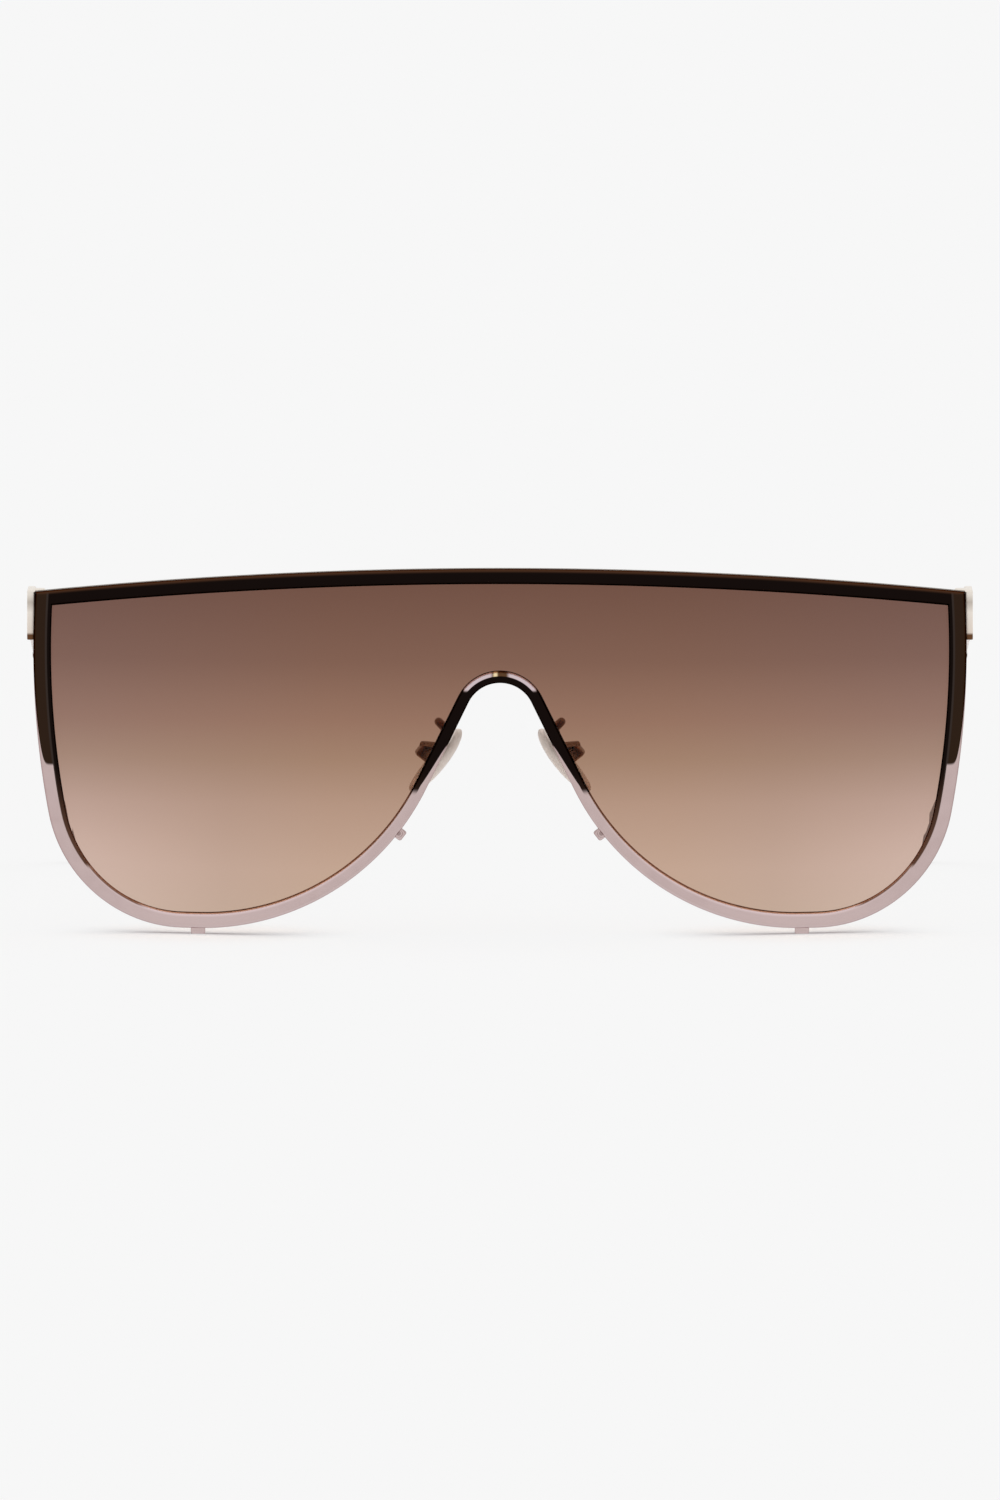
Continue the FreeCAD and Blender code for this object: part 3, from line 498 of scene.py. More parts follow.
# Places on the rim: each is a value, where the place starts and where it is full.
on_outside = (band_at, 0.6, 0.4)
beside_lens = (band_at, 1.4, 1.6)
off_lens = (band_at, 1.6, 1.4)
in_dimple = (band_at, 2.4, 2.6)
on_side = (from_middle, 39.0, 41.0)
on_bridge = (from_middle, 41.0, 39.0)
at_cheek = (from_middle, 53.5, 56.0)
at_foot = (height, 6.0, 1.5)
at_bottom = (height, 10.6, 9.2)
above_bottom = (height, 9.4, 10.4)
low_down = (height, 26.0, 12.0)
under_legs = (height, 22.4, 21.4)
up_legs = (height, 21.6, 22.8)
high_up = (height, 30.0, 31.0)
facing_down = (upward, -0.2, -0.8)
facing_up = (upward, 0.2, 0.7)
at_top_edge = (upward, 0.1, 0.75)
at_outer_side = (side_at, 2.05, 1.85)
on_highlight_line = (off_highlight_line, 0.24, 0.06)
by_lens = (lens_at, 0.28, 0.12)
by_cheek_lens = (lens_at, 0.46, 0.3)
in_dark_band = (dark_band_room, 0.43, 0.27)
off_middle = (from_middle, 0.9, 1.6)
on_glint = (off_glint, 0.5, 0.1)
over_arch = [
    (height, 37.4, 38.1),
    (height, 46.0, 45.0),
    (from_middle, 5.9, 5.3),
    (lens_at, 0.78, 0.66),
    beside_lens,
]

line_heights = []
for line, climb, reach, power in (NOSE_LINE, SIDE_LINE):
    share = node(plating, "ShaderNodeMath", {0: edge_at, 1: reach}, operation="DIVIDE")[0]
    share = node(plating, "ShaderNodeMath", {0: share, 1: power}, operation="POWER")[0]
    fall = node(plating, "ShaderNodeMath", {0: share}, operation="EXPONENT")[0]
    rise = node(plating, "ShaderNodeMath", {0: climb, 1: fall}, operation="DIVIDE")[0]
    line_heights.append(node(plating, "ShaderNodeMath", {0: rise, 1: line}, operation="ADD")[0])
nose_height, side_height = line_heights
line_at = node(plating, "ShaderNodeMix",
               {"Factor": shown_where(plating, on_side), "A": nose_height, "B": side_height})["Result"]
above_line = node(plating, "ShaderNodeMath", {0: height, 1: line_at}, operation="SUBTRACT")[0]
over_line = (above_line, -0.25, 0.25)

# Where the painted dark lies: the reflection above the line and by the lens, and the shade lines by the
# lens.
painted_dark_share = 0.0
for limits in (
        [over_line, off_lens],
        [in_dark_band, above_bottom, beside_lens, on_side],
        [up_legs, beside_lens, on_bridge],
        [high_up, beside_lens],
        [by_lens, beside_lens],
        [by_cheek_lens, at_cheek, beside_lens]):
    share = shown_where(plating, *limits)
    painted_dark_share = node(plating, "ShaderNodeMath", {0: painted_dark_share, 1: share}, operation="MAXIMUM")[0]
cap = shown_where(plating, *over_arch)
on_cap = (cap, 0.0, 1.0)
polish = node(plating, "ShaderNodeTexNoise",
              {"Vector": in_mm, "Scale": 1 / RIPPLE, "Detail": RIPPLE_DETAIL})[0]
rose = layered(plating, ROSE, [
    (ROSE_DEEP, polish),
    (ROSE_FOOT_REFLECTION, shown_where(plating, at_foot)),
    (ROSE_SHADE, shown_where(plating, facing_down)),
    (ROSE_HIGHLIGHT, shown_where(plating, facing_up, beside_lens)),
])
# Painted dark reflection, with painted browner reflections, shade lines, highlights and a glint over it.
dark = layered(plating, PAINTED_DARK_REFLECTION, [
    (SIDE_REFLECTION, shown_where(plating, at_outer_side, off_lens)),
    (SIDE_HIGHLIGHT_LINE, shown_where(plating, on_highlight_line, on_side)),
    (UP_EDGE_REFLECTION, shown_where(plating, at_top_edge, on_outside)),
    (FADING_DARK_REFLECTION, shown_where(plating, low_down, beside_lens)),
    (LENS_GROOVE_SHADE, shown_where(plating, at_bottom, beside_lens)),
    (LENS_GROOVE_SHADE, shown_where(plating, under_legs, on_bridge, beside_lens)),
    (CHEEK_GROOVE_SHADE, shown_where(plating, at_bottom, at_cheek, beside_lens)),
    (CAP_REFLECTION, cap),
    (SHOULDER_HIGHLIGHT, shown_where(plating, on_cap, off_middle)),
    (GLINT, shown_where(plating, on_cap, on_glint)),
])
finish = layered(plating, rose, [(dark, painted_dark_share), (DIMPLE_SHADE, shown_where(plating, in_dimple))])
sheen = layered(plating, ROSE_SHEEN, [(DARK_PART_SHEEN, painted_dark_share)])
rough = node(plating, "ShaderNodeMapRange",
             {"Value": polish, "To Min": RIM_ROUGHNESS[0], "To Max": RIM_ROUGHNESS[1]})["Result"]
ripples = node(plating, "ShaderNodeBump",
               {"Height": polish, "Strength": RIPPLE_STRENGTH, "Distance": RIPPLE_HEIGHT * MM})["Normal"]
metal = node(plating, "ShaderNodeBsdfPrincipled",
             {"Base Color": finish, "Metallic": 1.0, "Roughness": rough, "Specular Tint": sheen,
              "Normal": ripples})["BSDF"]
node(plating, "ShaderNodeOutputMaterial", {"Surface": metal})

# Lock barrels: a half is brazed to each sawn end and one slotted screw closes the two.
LOCK_RADIUS = 1.0
LOCK_EASE = 0.3
EASE_STEPS = 5
LOCK_BORE = 0.48
LOCK_BORE_DEPTH = 0.4
FOOT_TRIM = 0.15
FOOT_LOCK_HALF = 1.1
NOSE_LOCK_HALF = 0.85
LATHE_STEPS = 32
# The bead of a nose lock: radius and height along its outline, and where its dimple is.
BEAD_PROFILE = [(0, 1.03), (0.22, 1.05), (0.36, 1.14), (0.46, 1.17), (0.58, 1.1), (0.64, 0.8)]
DIMPLE_HEIGHT = 1.06
DIMPLE_REACH = 0.34
lock_stand = LOWER_RADIUS + FOOT_HEIGHT + FOOT_TRIM - LOCK_RADIUS


def lathe(bm, profile, matrix):
    # Turns a line of radius and height round local Z, into the place that a matrix gives.
    known = set(bm.verts)
    points = [bm.verts.new((radius, 0, height)) for radius, height in profile]
    edges = [bm.edges.new(pair) for pair in zip(points, points[1:])]
    bmesh.ops.spin(bm, geom=points + edges, cent=(0, 0, 0), axis=(0, 0, 1), angle=2 * math.pi,
                   steps=LATHE_STEPS, use_merge=True)
    made = [vert for vert in bm.verts if vert not in known]
    bmesh.ops.remove_doubles(bm, verts=made, dist=SAME_SPOT)
    made = [vert for vert in bm.verts if vert not in known]
    bmesh.ops.transform(bm, matrix=matrix, verts=made)
    return [face for face in bm.faces if known.isdisjoint(face.verts)]


def lock_barrel(bm, angle, half, way, side):
    # A barrel half on the left (side 1) or right (-1), on one way of the cut along the rim.
    spot = lower_centre + Vector((math.cos(angle), math.sin(angle))) * lock_stand
    along = Vector((-math.sin(angle) * side, 0, math.cos(angle))) * way
    middle = FRONT_RADIUS - RIM_DEPTH / 2
    depth = FACE_Y + FRONT_RADIUS - math.sqrt(middle ** 2 - spot.x ** 2)
    place = Matrix.Translation((spot.x * side, depth, spot.y))
    turn = along.to_track_quat("Z", "Y").to_matrix().to_4x4()
    floor = half - LOCK_BORE_DEPTH
    profile = [(0, floor), (LOCK_BORE, floor), (LOCK_BORE, half)]
    for step in range(EASE_STEPS + 1):
        turn_back = math.pi / 2 * step / EASE_STEPS
        profile.append((LOCK_RADIUS - LOCK_EASE * (1 - math.sin(turn_back)),
                        half - LOCK_EASE * (1 - math.cos(turn_back))))
    profile += [(LOCK_RADIUS, 0), (0, 0)]
    lathe(bm, profile, place @ turn)
    if half == NOSE_LOCK_HALF and way == 1:
        # The screw of a nose lock is staked through a dimpled bead on the front of the barrel.
        dimple = Vector((spot.x * side, depth - DIMPLE_HEIGHT, spot.y))
        for face in lathe(bm, BEAD_PROFILE, place @ Matrix.Rotation(math.pi / 2, 4, "X")):
            if (face.calc_center_median() - dimple).length < DIMPLE_REACH:
                face[bm.faces.layers.float["band"]] = DIMPLE_BAND


# The barrel halves on each length of rim: the angle of the lock, its half width, way and side.
barrels = {
    "brow_rim": [(lowest_angle, FOOT_LOCK_HALF, 1, 1), (lowest_angle, FOOT_LOCK_HALF, 1, -1)],
    "bridge_rim": [(nose_angle, NOSE_LOCK_HALF, -1, 1), (nose_angle, NOSE_LOCK_HALF, -1, -1)],
    "lower_rim_left": [(lowest_angle, FOOT_LOCK_HALF, -1, 1), (nose_angle, NOSE_LOCK_HALF, 1, 1)],
    "lower_rim_right": [(lowest_angle, FOOT_LOCK_HALF, -1, -1), (nose_angle, NOSE_LOCK_HALF, 1, -1)],
}
for length, halves in barrels.items():
    wire = ring.copy()
    others = [face for face in wire.faces if rim_length(face) != length]
    bmesh.ops.delete(wire, geom=others, context="FACES")
    bmesh.ops.holes_fill(wire, edges=[edge for edge in wire.edges if edge.is_boundary])
    wrap(wire)
    for half in halves:
        lock_barrel(wire, *half)
    bmesh.ops.bisect_plane(wire, geom=wire.verts[:] + wire.edges[:] + wire.faces[:],
                           plane_co=(0, 0, 0), plane_no=(0, 0, -1), clear_outer=True)
    bmesh.ops.holes_fill(wire, edges=[edge for edge in wire.edges if edge.is_boundary])
    as_piece(wire, f"{length}_wire", plating, "front", length)
ring.free()


# Screws, hinges and washers
# Small turned and milled pieces of stainless steel, tumbled so that their edges are eased. The
# washers are punched from white nylon sheet.
LOCK_SCREW_EASE = 0.04
SCREW_EASE = 0.06
HINGE_EASE = 0.1
EASED_SEGMENTS = 3
EASED_FROM = math.radians(35)
FLAT_WITHIN = math.radians(1)
METAL = {"Metallic": 1.0}
behaviour = frame["record"]["behaviour"]
body_of = {name: body for body, names in behaviour["bodies"].items() for name in names}


def eased(name, material, ease=0):
    # A copy of a machined piece, with its edges rounded by some ease.
    bm = bmesh.new()
    bm.from_mesh(frame["nodes"][name].data)
    bmesh.ops.scale(bm, vec=(1 / MM, 1 / MM, 1 / MM), verts=bm.verts)
    bmesh.ops.remove_doubles(bm, verts=bm.verts, dist=SAME_SPOT)
    bmesh.ops.dissolve_limit(bm, angle_limit=FLAT_WITHIN, verts=bm.verts, edges=bm.edges)
    piece = as_piece(bm, f"{name}_eased", material, body_of[name], name)
    if ease:
        rounding = piece.modifiers.new("eased edges", "BEVEL")
        rounding.width = ease * MM
        rounding.segments = EASED_SEGMENTS
        rounding.limit_method = "ANGLE"
        rounding.angle_limit = EASED_FROM
    return piece


def grained(name, grain, stops, roughness, relief, skin, wear=None, heights=None, detail=2.0,
            distortion=0.0, stretch=(1.0, 1.0, 1.0)):
    # A material with a grain of some millimetres: its colours, roughness and relief (strength and
    # height) follow the grain, or its colours a range of heights. Wear is a colour for its edges, with
    # how sharp an edge is where it starts to show and where it is full.
    material = new_material(name)
    in_mm, axes, _ = in_millimetres(material)
    drawn = node(material, "ShaderNodeMapping", {"Vector": in_mm, "Scale": stretch})["Vector"]
    specks = node(material, "ShaderNodeTexNoise",
                  {"Vector": drawn, "Scale": 1 / grain, "Detail": detail, "Distortion": distortion})[0]
    shade = specks
    if heights:
        shade = node(material, "ShaderNodeMapRange",
                     {"Value": axes["Z"], "From Min": heights[0], "From Max": heights[1]})["Result"]
    tone = node(material, "ShaderNodeValToRGB", {"Fac": shade}, stops=stops)["Color"]
    if wear:
        colour, start, full = wear
        edges = node(material, "ShaderNodeNewGeometry")["Pointiness"]
        tone = layered(material, tone, [(linear(colour), shown_where(material, (edges, start, full)))])
    rough = node(material, "ShaderNodeMapRange",
                 {"Value": specks, "To Min": roughness[0], "To Max": roughness[1]})["Result"]
    bumps = node(material, "ShaderNodeBump",
                 {"Height": specks, "Strength": relief[0], "Distance": relief[1] * MM})["Normal"]
    surface = node(material, "ShaderNodeBsdfPrincipled",
                   {"Base Color": tone, "Roughness": rough, "Normal": bumps, **skin})["BSDF"]
    node(material, "ShaderNodeOutputMaterial", {"Surface": surface})
    return material


# Stainless steel: satin from tumbling, with fine specks of rougher and smoother metal, and rubbed
# bright at its edges. The specks are drawn coarser than they are.
satin_steel = grained(
    "tumbled stainless steel", grain=0.4, stops=[(0.3, "#B8B3AE"), (0.7, "#CDC8C3")],
    roughness=(0.22, 0.4), relief=(0.3, 0.01), wear=("#E2DEDA", 0.51, 0.6), detail=3.0, skin=METAL)

# Nylon: milky white, faintly clouded, a little rough from the punch.
punched_nylon = grained(
    "punched nylon", grain=0.8, stops=[(0.3, "#E2DED8"), (0.7, "#EFECE6")],
    roughness=(0.4, 0.55), relief=(0.3, 0.01), skin={"IOR": 1.53})

eased("rim_lock_screws", satin_steel, LOCK_SCREW_EASE)
for _, name in SIDES:
    eased(f"hinge_front_{name}", satin_steel, HINGE_EASE)
    eased(f"hinge_rear_{name}", satin_steel, HINGE_EASE)
    eased(f"hinge_screw_{name}", satin_steel, SCREW_EASE)
    eased(f"hinge_washers_{name}", punched_nylon)


# End pieces
# Stamped from the same metal as the rim, with a shallow panel in the outer face and a foot behind the
# rim that is brazed to it, eased all round and plated ivory.

# Two far corners each of the left plate and of its foot.
END_PLATE = ((71.3, -62.5, 44.5), (72.65, -52.02, 52.1))
END_FOOT = ((69.8, -60.2, 45.3), (71.5, -57.6, 52.2))
END_EASE = 0.28
END_EASE_STEPS = 4
PANEL_INSET = 0.8
PANEL_DEPTH = 0.3

# Ivory plating: a pale satin metal, with a bronze painted shade at its lower end and a greyer band of
# painted reflection higher up. Its grain is drawn coarser than it is.
IVORY_SHADE_AND_REFLECTION_LEVELS = [
    (0.10, "#6B4A33"),
    (0.15, "#E9DCD0"),
    (0.55, "#F3EAE0"),
    (0.76, "#C9BFB4"),
    (0.92, "#F1E9DF"),
]
ivory_plate = grained(
    "ivory plated nickel silver", grain=0.5, stops=IVORY_SHADE_AND_REFLECTION_LEVELS,
    heights=(END_PLATE[0][-1], END_PLATE[1][-1]), roughness=(0.35, 0.5), relief=(0.3, 0.01),
    detail=3.0, skin=METAL)

for side, name in SIDES:
    plate = bmesh.new()
    for low, high in (END_PLATE, END_FOOT):
        low, high = Vector(low), Vector(high)
        verts = bmesh.ops.create_cube(plate, size=1)["verts"]
        bmesh.ops.scale(plate, vec=high - low, verts=verts)
        bmesh.ops.translate(plate, vec=(low + high) / 2, verts=verts)
    outer = max(plate.faces, key=lambda face: face.calc_center_median().x)
    edges = plate.edges[:]
    bmesh.ops.inset_individual(plate, faces=[outer], thickness=PANEL_INSET, depth=-PANEL_DEPTH)
    bmesh.ops.bevel(plate, geom=edges, offset=END_EASE, affect="EDGES", segments=END_EASE_STEPS,
                    profile=0.5, material=-1)
    bmesh.ops.scale(plate, vec=(side, 1, 1), verts=plate.verts)
    as_piece(plate, f"end_plate_{name}", ivory_plate, "front", f"end_piece_{name}")


# Temples
# Straps stamped from the same metal, with a shallow channel along the outer face, plated pale rose and
# polished along their length. Each swings on its hinge.
TEMPLE_EASE = 0.15

# Pale rose plating: bright and soft, with fine polishing lines along the strap and paler edges. The
# lines are drawn coarser than they are.
rose_plate = grained(
    "pale rose plated nickel silver", grain=0.25, stops=[(0.3, "#D2BDB6"), (0.7, "#D8C4BD")],
    roughness=(0.18, 0.27), relief=(0.3, 0.01), wear=("#E8DAD4", 0.51, 0.6), detail=3.0,
    stretch=(1.0, 0.03, 1.0), skin=METAL)
for _, name in SIDES:
    eased(f"temple_{name}", rose_plate, TEMPLE_EASE)


# Temple tips
# Sleeves of dark brown cellulose acetate, pushed over the core of the temple, heated and bent down
# behind the ear and in to the head. The acetate is polished and has faint streaks of lighter brown.
SLOPE = math.radians(8)
DROP = SLOPE + math.radians(35)
DROP_RADIUS = 30.0
TIP_HEIGHT = 3.8
TIP_THICKNESS = 1.45
TIP_TAPER = 0.2
TIP_ROUND = 0.5
TIP_ROUND_STEPS = 5
TIP_LAP = 14.0
SIDE_WALL = 1.05
INWARD_START = 41.0
INWARD_RADIUS = 145.0
TIP_STEPS = 44
TIP_CORNERS = ((-1, -1), (1, -1), (1, 1), (-1, 1))
# The rounded end: its steps, how far it turns in, and how slowly its thickness shrinks.
END_STEPS = 7
END_TURN = math.radians(84)
END_FLATNESS = 0.35

fold = next(joint for joint in behaviour["joints"] if joint["name"] == "temple_left_fold")
hinge = Vector((fold["pos_m"][1], fold["pos_m"][2])) / MM
along_slope = Vector((math.cos(SLOPE), -math.sin(SLOPE)))
along_drop = Vector((math.cos(DROP), -math.sin(DROP)))
above_slope = Vector((math.sin(SLOPE), math.cos(SLOPE)))
above_drop = Vector((math.sin(DROP), math.cos(DROP)))
bend_way = (above_drop - above_slope) * DROP_RADIUS
rest = Vector((OVERALL_DEPTH / 2 - TIP_HEIGHT / 2, TIP_HEIGHT / 2)) - hinge - bend_way
straight = (rest.x * math.sin(DROP) + rest.y * math.cos(DROP)) / math.sin(DROP - SLOPE)
drop_length = (-rest.y * math.cos(SLOPE) - rest.x * math.sin(SLOPE)) / math.sin(DROP - SLOPE)
bend_start = hinge + along_slope * straight
bend_centre = bend_start - above_slope * DROP_RADIUS
bend_end = bend_centre + above_drop * DROP_RADIUS
bend_length = DROP_RADIUS * (DROP - SLOPE)


def on_temple_line(distance, lift):
    # A point at a distance from the start of the bend, lifted off the line of the temple.
    if distance < 0:
        return bend_start + along_slope * distance + above_slope * lift
    if distance < bend_length:
        angle = SLOPE + distance / DROP_RADIUS
        return bend_centre + Vector((math.sin(angle), math.cos(angle))) * (DROP_RADIUS + lift)
    return bend_end + along_drop * (distance - bend_length) + above_drop * lift


# Cellulose acetate: glossy and deep, with streaks along the sheet that it is cut from, and paler where
# polishing has rounded the edges.
brown_acetate = grained(
    "brown cellulose acetate", grain=4.0,
    stops=[(0.35, "#3A1E10"), (0.55, "#552D18"), (0.75, "#8A5230")],
    roughness=(0.12, 0.24), relief=(0.2, 0.01), wear=("#8A5C3C", 0.53, 0.7), detail=4.0, distortion=0.6,
    stretch=(1.0, 0.3, 0.5), skin={"IOR": 1.48, "Specular IOR Level": 0.35})

for side, name in SIDES:
    sleeve = bmesh.new()
    half = Vector((TIP_THICKNESS / 2, TIP_HEIGHT / 2))
    corners = [sleeve.verts.new((half.x * x, -TIP_LAP, half.y * z)) for x, z in TIP_CORNERS]
    sleeve.faces.new(corners)
    bmesh.ops.bevel(sleeve, geom=corners, offset=TIP_ROUND, affect="VERTICES",
                    segments=TIP_ROUND_STEPS, profile=0.5, material=-1)
    end = sleeve.faces[:]
    step = (TIP_LAP + bend_length + drop_length) / TIP_STEPS
    made = bmesh.ops.spin(sleeve, geom=end, cent=(0, 0, 0), axis=(0, 1, 0), dvec=(0, step, 0),
                          angle=0, steps=TIP_STEPS)
    end = [item for item in made["geom_last"] if isinstance(item, bmesh.types.BMFace)]
    for number in range(1, END_STEPS + 1):
        before = END_TURN * (number - 1) / END_STEPS
        after = END_TURN * number / END_STEPS
        advance = half.y * (math.sin(after) - math.sin(before))
        shrink = math.cos(after) / math.cos(before)
        made = bmesh.ops.extrude_face_region(sleeve, geom=end)
        bmesh.ops.delete(sleeve, geom=end, context="FACES_ONLY")
        end = [item for item in made["geom"] if isinstance(item, bmesh.types.BMFace)]
        verts = [item for item in made["geom"] if isinstance(item, bmesh.types.BMVert)]
        bmesh.ops.translate(sleeve, vec=(0, advance, 0), verts=verts)
        bmesh.ops.scale(sleeve, vec=(shrink ** END_FLATNESS, 1, shrink), verts=verts)
    for vert in sleeve.verts:
        spot = on_temple_line(vert.co.y, vert.co.z)
        inward = max(spot.x - INWARD_START, 0)
        shift = INWARD_RADIUS - math.sqrt(INWARD_RADIUS ** 2 - inward ** 2)
        thinned = 1 - TIP_TAPER * max(vert.co.y, 0) / (bend_length + drop_length)
        x = (RIM_WIDTH + SIDE_WALL) / 2 + vert.co.x * thinned - shift
        vert.co = (x * side, spot.x, spot.y)
    as_piece(sleeve, f"tip_sleeve_{name}", brown_acetate, f"temple_{name}",
             f"temple_tip_{name}")


# Pad arms and boxes
# A bent wire of nickel silver, brazed to the bridge and lacquered thickly, ends in a small rounded box
# that the pad's lug rocks in, on a steel screw that is plated like the box.
ARM_COAT = 0.14
PAD_BASE = 0.6
BOX_SIZE = Vector((2.3, 2.36, 2.2))
BOX_GAP = 0.5
BOX_ROUND = 0.5
BOX_ROUND_STEPS = 5
BOX_WALL = 0.22
BOX_FLOOR = 0.45
PAD_SETBACK = 9.4
PAD_CENTRE = Vector((9.84, FACE_Y + PAD_SETBACK, 26.5))
PAD_LEAN = math.radians(39)
PAD_SPLAY = math.radians(10)
pad_down = Vector((math.sin(PAD_LEAN), 0, -math.cos(PAD_LEAN)))
pad_normal = Vector((-math.cos(PAD_SPLAY) * math.cos(PAD_LEAN), math.sin(PAD_SPLAY),
                     -math.cos(PAD_SPLAY) * math.sin(PAD_LEAN)))
pad_across = pad_normal.cross(pad_down)
pad_turn = Matrix((pad_down, pad_across, pad_normal)).transposed().to_4x4()
pad_place = Matrix.Translation(PAD_CENTRE) @ pad_turn

# Bronze plating: a warm brown metal, a little cloudy, and lighter where its edges are rubbed.
bronze_plate = grained(
    "bronze plated nickel silver", grain=0.7, stops=[(0.3, "#7F5F49"), (0.7, "#93725A")],
    roughness=(0.24, 0.36), relief=(0.3, 0.01), wear=("#A2826A", 0.51, 0.6), detail=3.0, skin=METAL)

for side, name in SIDES:
    arm = eased(f"pad_arm_{name}", bronze_plate)
    coat = arm.modifiers.new("thick lacquer", "DISPLACE")
    coat.strength = ARM_COAT * MM
    coat.mid_level = 0
    eased(f"pad_screw_{name}", bronze_plate, SCREW_EASE)
    tray = bmesh.new()
    bmesh.ops.create_cube(tray, size=1)
    bmesh.ops.scale(tray, vec=BOX_SIZE, verts=tray.verts)
    mouth = max(tray.faces, key=lambda face: face.calc_center_median().z)
    rounded = [edge for edge in tray.edges if edge not in set(mouth.edges)]
    bmesh.ops.bevel(tray, geom=rounded, offset=BOX_ROUND, affect="EDGES", segments=BOX_ROUND_STEPS,
                    profile=0.5, material=-1)
    mouth = max(tray.faces, key=lambda face: face.calc_center_median().z)
    bmesh.ops.inset_individual(tray, faces=[mouth], thickness=BOX_WALL)
    bmesh.ops.inset_individual(tray, faces=[mouth], depth=BOX_FLOOR - BOX_SIZE.z)
    bmesh.ops.translate(tray, vec=(0, 0, -PAD_BASE - BOX_GAP - BOX_SIZE.z / 2), verts=tray.verts)
    bmesh.ops.transform(tray, matrix=Matrix.Diagonal((side, 1, 1, 1)) @ pad_place, verts=tray.verts)
    as_piece(tray, f"pad_tray_{name}", bronze_plate, "front", f"pad_box_{name}")


# Nose pads
# Soft crowned ovals of milky silicone, moulded round a clear nylon core whose lug goes into the box.
# The pad and its core rock together on the screw.
PAD_LENGTH = 12.2
PAD_WIDTH = 6.5
PAD_CROWN = 1.6
PAD_EASE = 0.18
PAD_EASE_STEPS = 4
PAD_ROUND_STEPS = 56
PAD_CROWN_STEPS = 28
CORE_EASE = 0.08

# Silicone rubber: satin and milky, with a faint haze in it.
milky_silicone = grained(
    "moulded silicone", grain=1.5, stops=[(0.3, "#E6D7CC"), (0.7, "#EFE3DA")],
    roughness=(0.3, 0.42), relief=(0.2, 0.02), skin={"IOR": 1.41})

# Clear nylon: see-through with a warm cast, faintly clouded by the mould.
clear_nylon = grained(
    "clear nylon", grain=1.0, stops=[(0.3, "#D9CDBF"), (0.7, "#E6DDD2")],
    roughness=(0.08, 0.16), relief=(0.2, 0.01), skin={"IOR": 1.53, "Transmission Weight": 0.6})

for side, name in SIDES:
    pad = bmesh.new()
    bmesh.ops.create_uvsphere(pad, u_segments=PAD_ROUND_STEPS, v_segments=PAD_CROWN_STEPS, radius=1)
    bmesh.ops.scale(pad, vec=(PAD_LENGTH / 2, PAD_WIDTH / 2, PAD_CROWN), verts=pad.verts)
    bmesh.ops.bisect_plane(pad, geom=pad.verts[:] + pad.edges[:] + pad.faces[:],
                           plane_co=(0, 0, -PAD_BASE), plane_no=(0, 0, -1), clear_outer=True)
    back = [edge for edge in pad.edges if edge.is_boundary]
    bmesh.ops.contextual_create(pad, geom=back)
    bmesh.ops.bevel(pad, geom=back, offset=PAD_EASE, affect="EDGES", segments=PAD_EASE_STEPS,
                    profile=0.5, material=-1)
    bmesh.ops.transform(pad, matrix=Matrix.Diagonal((side, 1, 1, 1)) @ pad_place, verts=pad.verts)
    as_piece(pad, f"silicone_pad_{name}", milky_silicone, f"pad_{name}",
             f"nose_pad_{name}")
    eased(f"pad_core_{name}", clear_nylon, CORE_EASE)


# Floor, light and camera
# A pale matt table under one broad lamp and a faint even sky, seen from just above its surface. What is
# seen of the table is mostly its own plain colour, so that only the shadows at the two feet stay clear.
TABLE_SIZE = 60000.0
TABLE_CLOUD = 166.7
FEET_PLACE = (LOWEST_X, -71.0, 0.0)
FEET_REACH = (5.0, 26.0)
FEET_GLOW, FAR_GLOW = 0.15, 0.85
BACKGROUND = linear("#F7F7F7")
WHITE = linear("#FFFFFF")
SKY_SHARE = 0.1
LAMP_STRENGTH = 2.83
LAMP_LEAN = math.radians(6)
LAMP_SPREAD = math.radians(120)
CAMERA_AIM = Vector((0, FACE_Y, 28.72))
CAMERA_DISTANCE = 5000.0
CAMERA_FAR = 100000.0
CAMERA_RISE = math.radians(4)
CAMERA_LENS = 784.6
CAMERA_SENSOR = 36.0


def seen_share(material, straight, indirect):
    # A share of what is seen straight, and another of what is seen in a reflection or through the lens.
    path = node(material, "ShaderNodeLightPath")
    share = 0.0
    for way, part in (
            ("Is Camera Ray", straight),
            ("Is Glossy Ray", indirect),
            ("Is Transmission Ray", indirect)):
        seen = node(material, "ShaderNodeMath", {0: path[way], 1: part}, operation="MULTIPLY")[0]
        share = node(material, "ShaderNodeMath", {0: share, 1: seen}, operation="MAXIMUM")[0]
    return share


# Matt laminate: plain and pale, with the faintest clouds, and no gloss.
matt_table = new_material("matt laminate table top")
in_mm, axes, from_middle = in_millimetres(matt_table)
cloud = node(matt_table, "ShaderNodeTexNoise", {"Vector": in_mm, "Scale": 1 / TABLE_CLOUD})[0]
tone = node(matt_table, "ShaderNodeValToRGB", {"Fac": cloud},
            stops=[(0.3, "#F7F7F7"), (0.7, "#F8F8F8")])["Color"]
matt = node(matt_table, "ShaderNodeBsdfPrincipled",
            {"Base Color": tone, "Roughness": 1.0, "Specular IOR Level": 0.0})["BSDF"]
plain = node(matt_table, "ShaderNodeEmission", {"Color": BACKGROUND})["Emission"]
folded = node(matt_table, "ShaderNodeCombineXYZ", {"X": from_middle, "Y": axes["Y"]})["Vector"]
from_feet = node(matt_table, "ShaderNodeVectorMath", {0: folded, 1: FEET_PLACE},
                 operation="DISTANCE")["Value"]
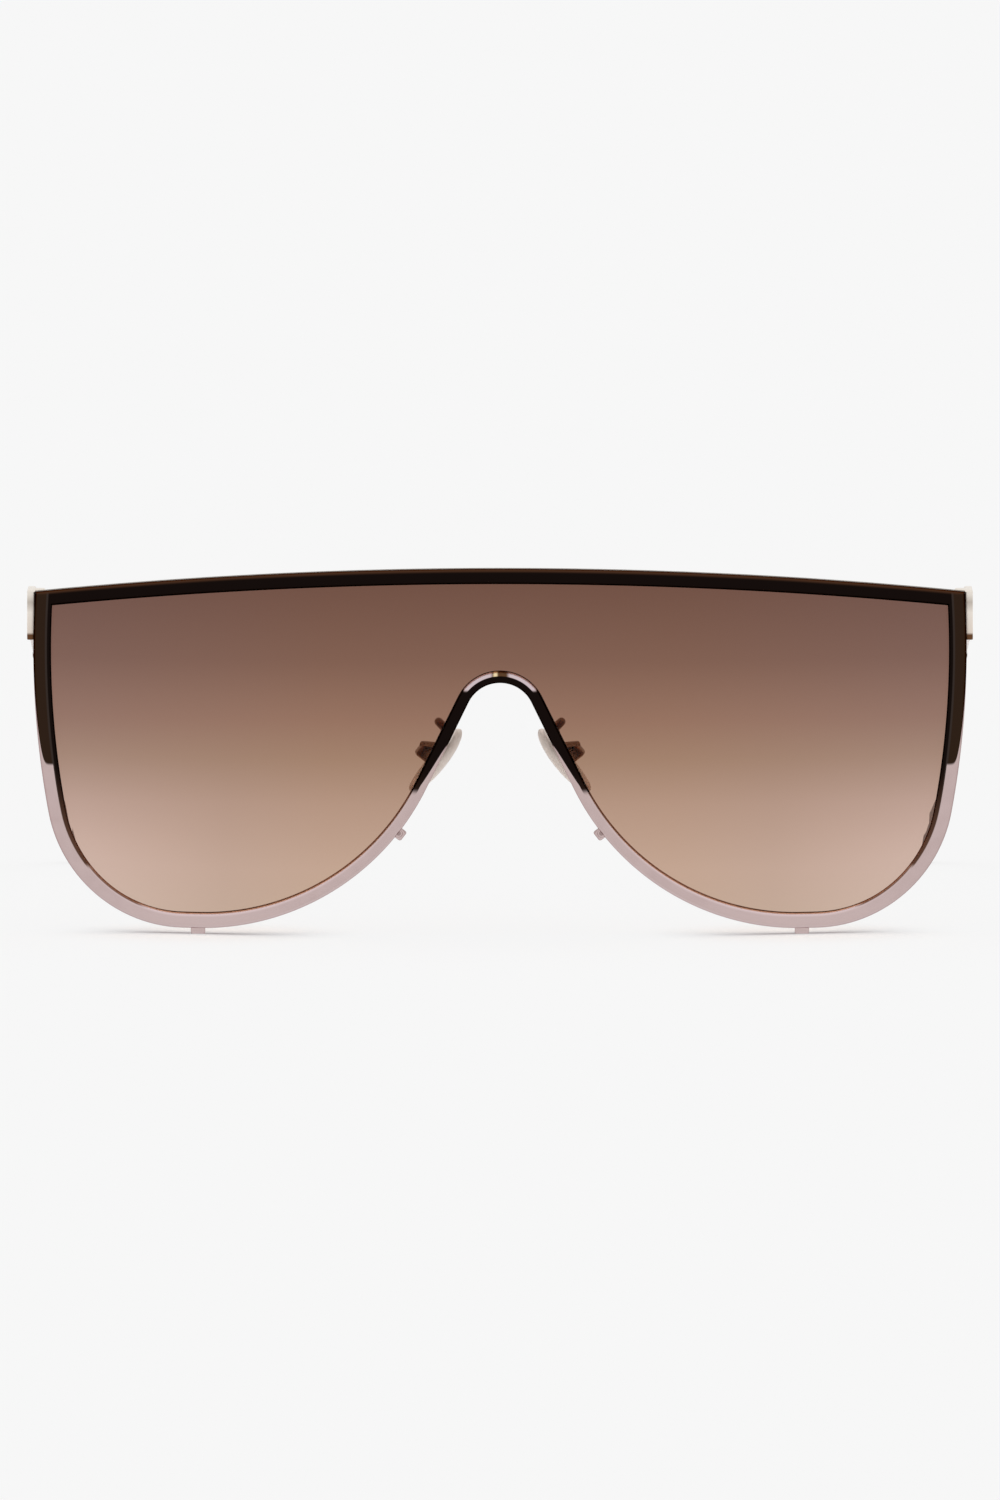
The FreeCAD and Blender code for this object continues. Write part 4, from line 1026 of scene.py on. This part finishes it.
glow = node(matt_table, "ShaderNodeMapRange",
            {"Value": from_feet, "From Min": FEET_REACH[0], "From Max": FEET_REACH[1],
             "To Min": FEET_GLOW, "To Max": FAR_GLOW}, interpolation_type="SMOOTHSTEP")["Result"]
seen = seen_share(matt_table, glow, FAR_GLOW)
mixed = node(matt_table, "ShaderNodeMixShader", {0: seen, 1: matt, 2: plain})["Shader"]
node(matt_table, "ShaderNodeOutputMaterial", {"Surface": mixed})
table = bmesh.new()
bmesh.ops.create_grid(table, x_segments=1, y_segments=1, size=TABLE_SIZE / 2 * MM)
mesh = bpy.data.meshes.new("table_top")
table.to_mesh(mesh)
table.free()
mesh.materials.append(matt_table)
table_top = bpy.data.objects.new("table_top", mesh)
bpy.context.scene.collection.objects.link(table_top)

sky = bpy.data.worlds.new("even sky")
sky.use_nodes = True
sky.node_tree.nodes.clear()
light = node(sky, "ShaderNodeBackground", {"Color": WHITE, "Strength": SKY_SHARE})["Background"]
shown = node(sky, "ShaderNodeBackground", {"Color": BACKGROUND})["Background"]
seen = seen_share(sky, 1.0, 1.0)
mixed = node(sky, "ShaderNodeMixShader", {0: seen, 1: light, 2: shown})["Shader"]
node(sky, "ShaderNodeOutputWorld", {"Surface": mixed})
bpy.context.scene.world = sky

lamp_data = bpy.data.lights.new("broad lamp", "SUN")
lamp_data.energy = LAMP_STRENGTH
lamp_data.angle = LAMP_SPREAD
lamp = bpy.data.objects.new("broad lamp", lamp_data)
lamp.rotation_euler = (LAMP_LEAN, 0, 0)
lamp.visible_glossy = False
bpy.context.scene.collection.objects.link(lamp)

camera_data = bpy.data.cameras.new("photo camera")
camera_data.lens = CAMERA_LENS
camera_data.sensor_width = CAMERA_SENSOR
camera_data.clip_end = CAMERA_FAR * MM
camera = bpy.data.objects.new("photo camera", camera_data)
back = Vector((0, -math.cos(CAMERA_RISE), math.sin(CAMERA_RISE)))
camera.location = (CAMERA_AIM + back * CAMERA_DISTANCE) * MM
camera.rotation_euler = (math.pi / 2 - CAMERA_RISE, 0, 0)
bpy.context.scene.collection.objects.link(camera)
bpy.context.scene.camera = camera
bpy.context.scene.view_settings.view_transform = "Standard"
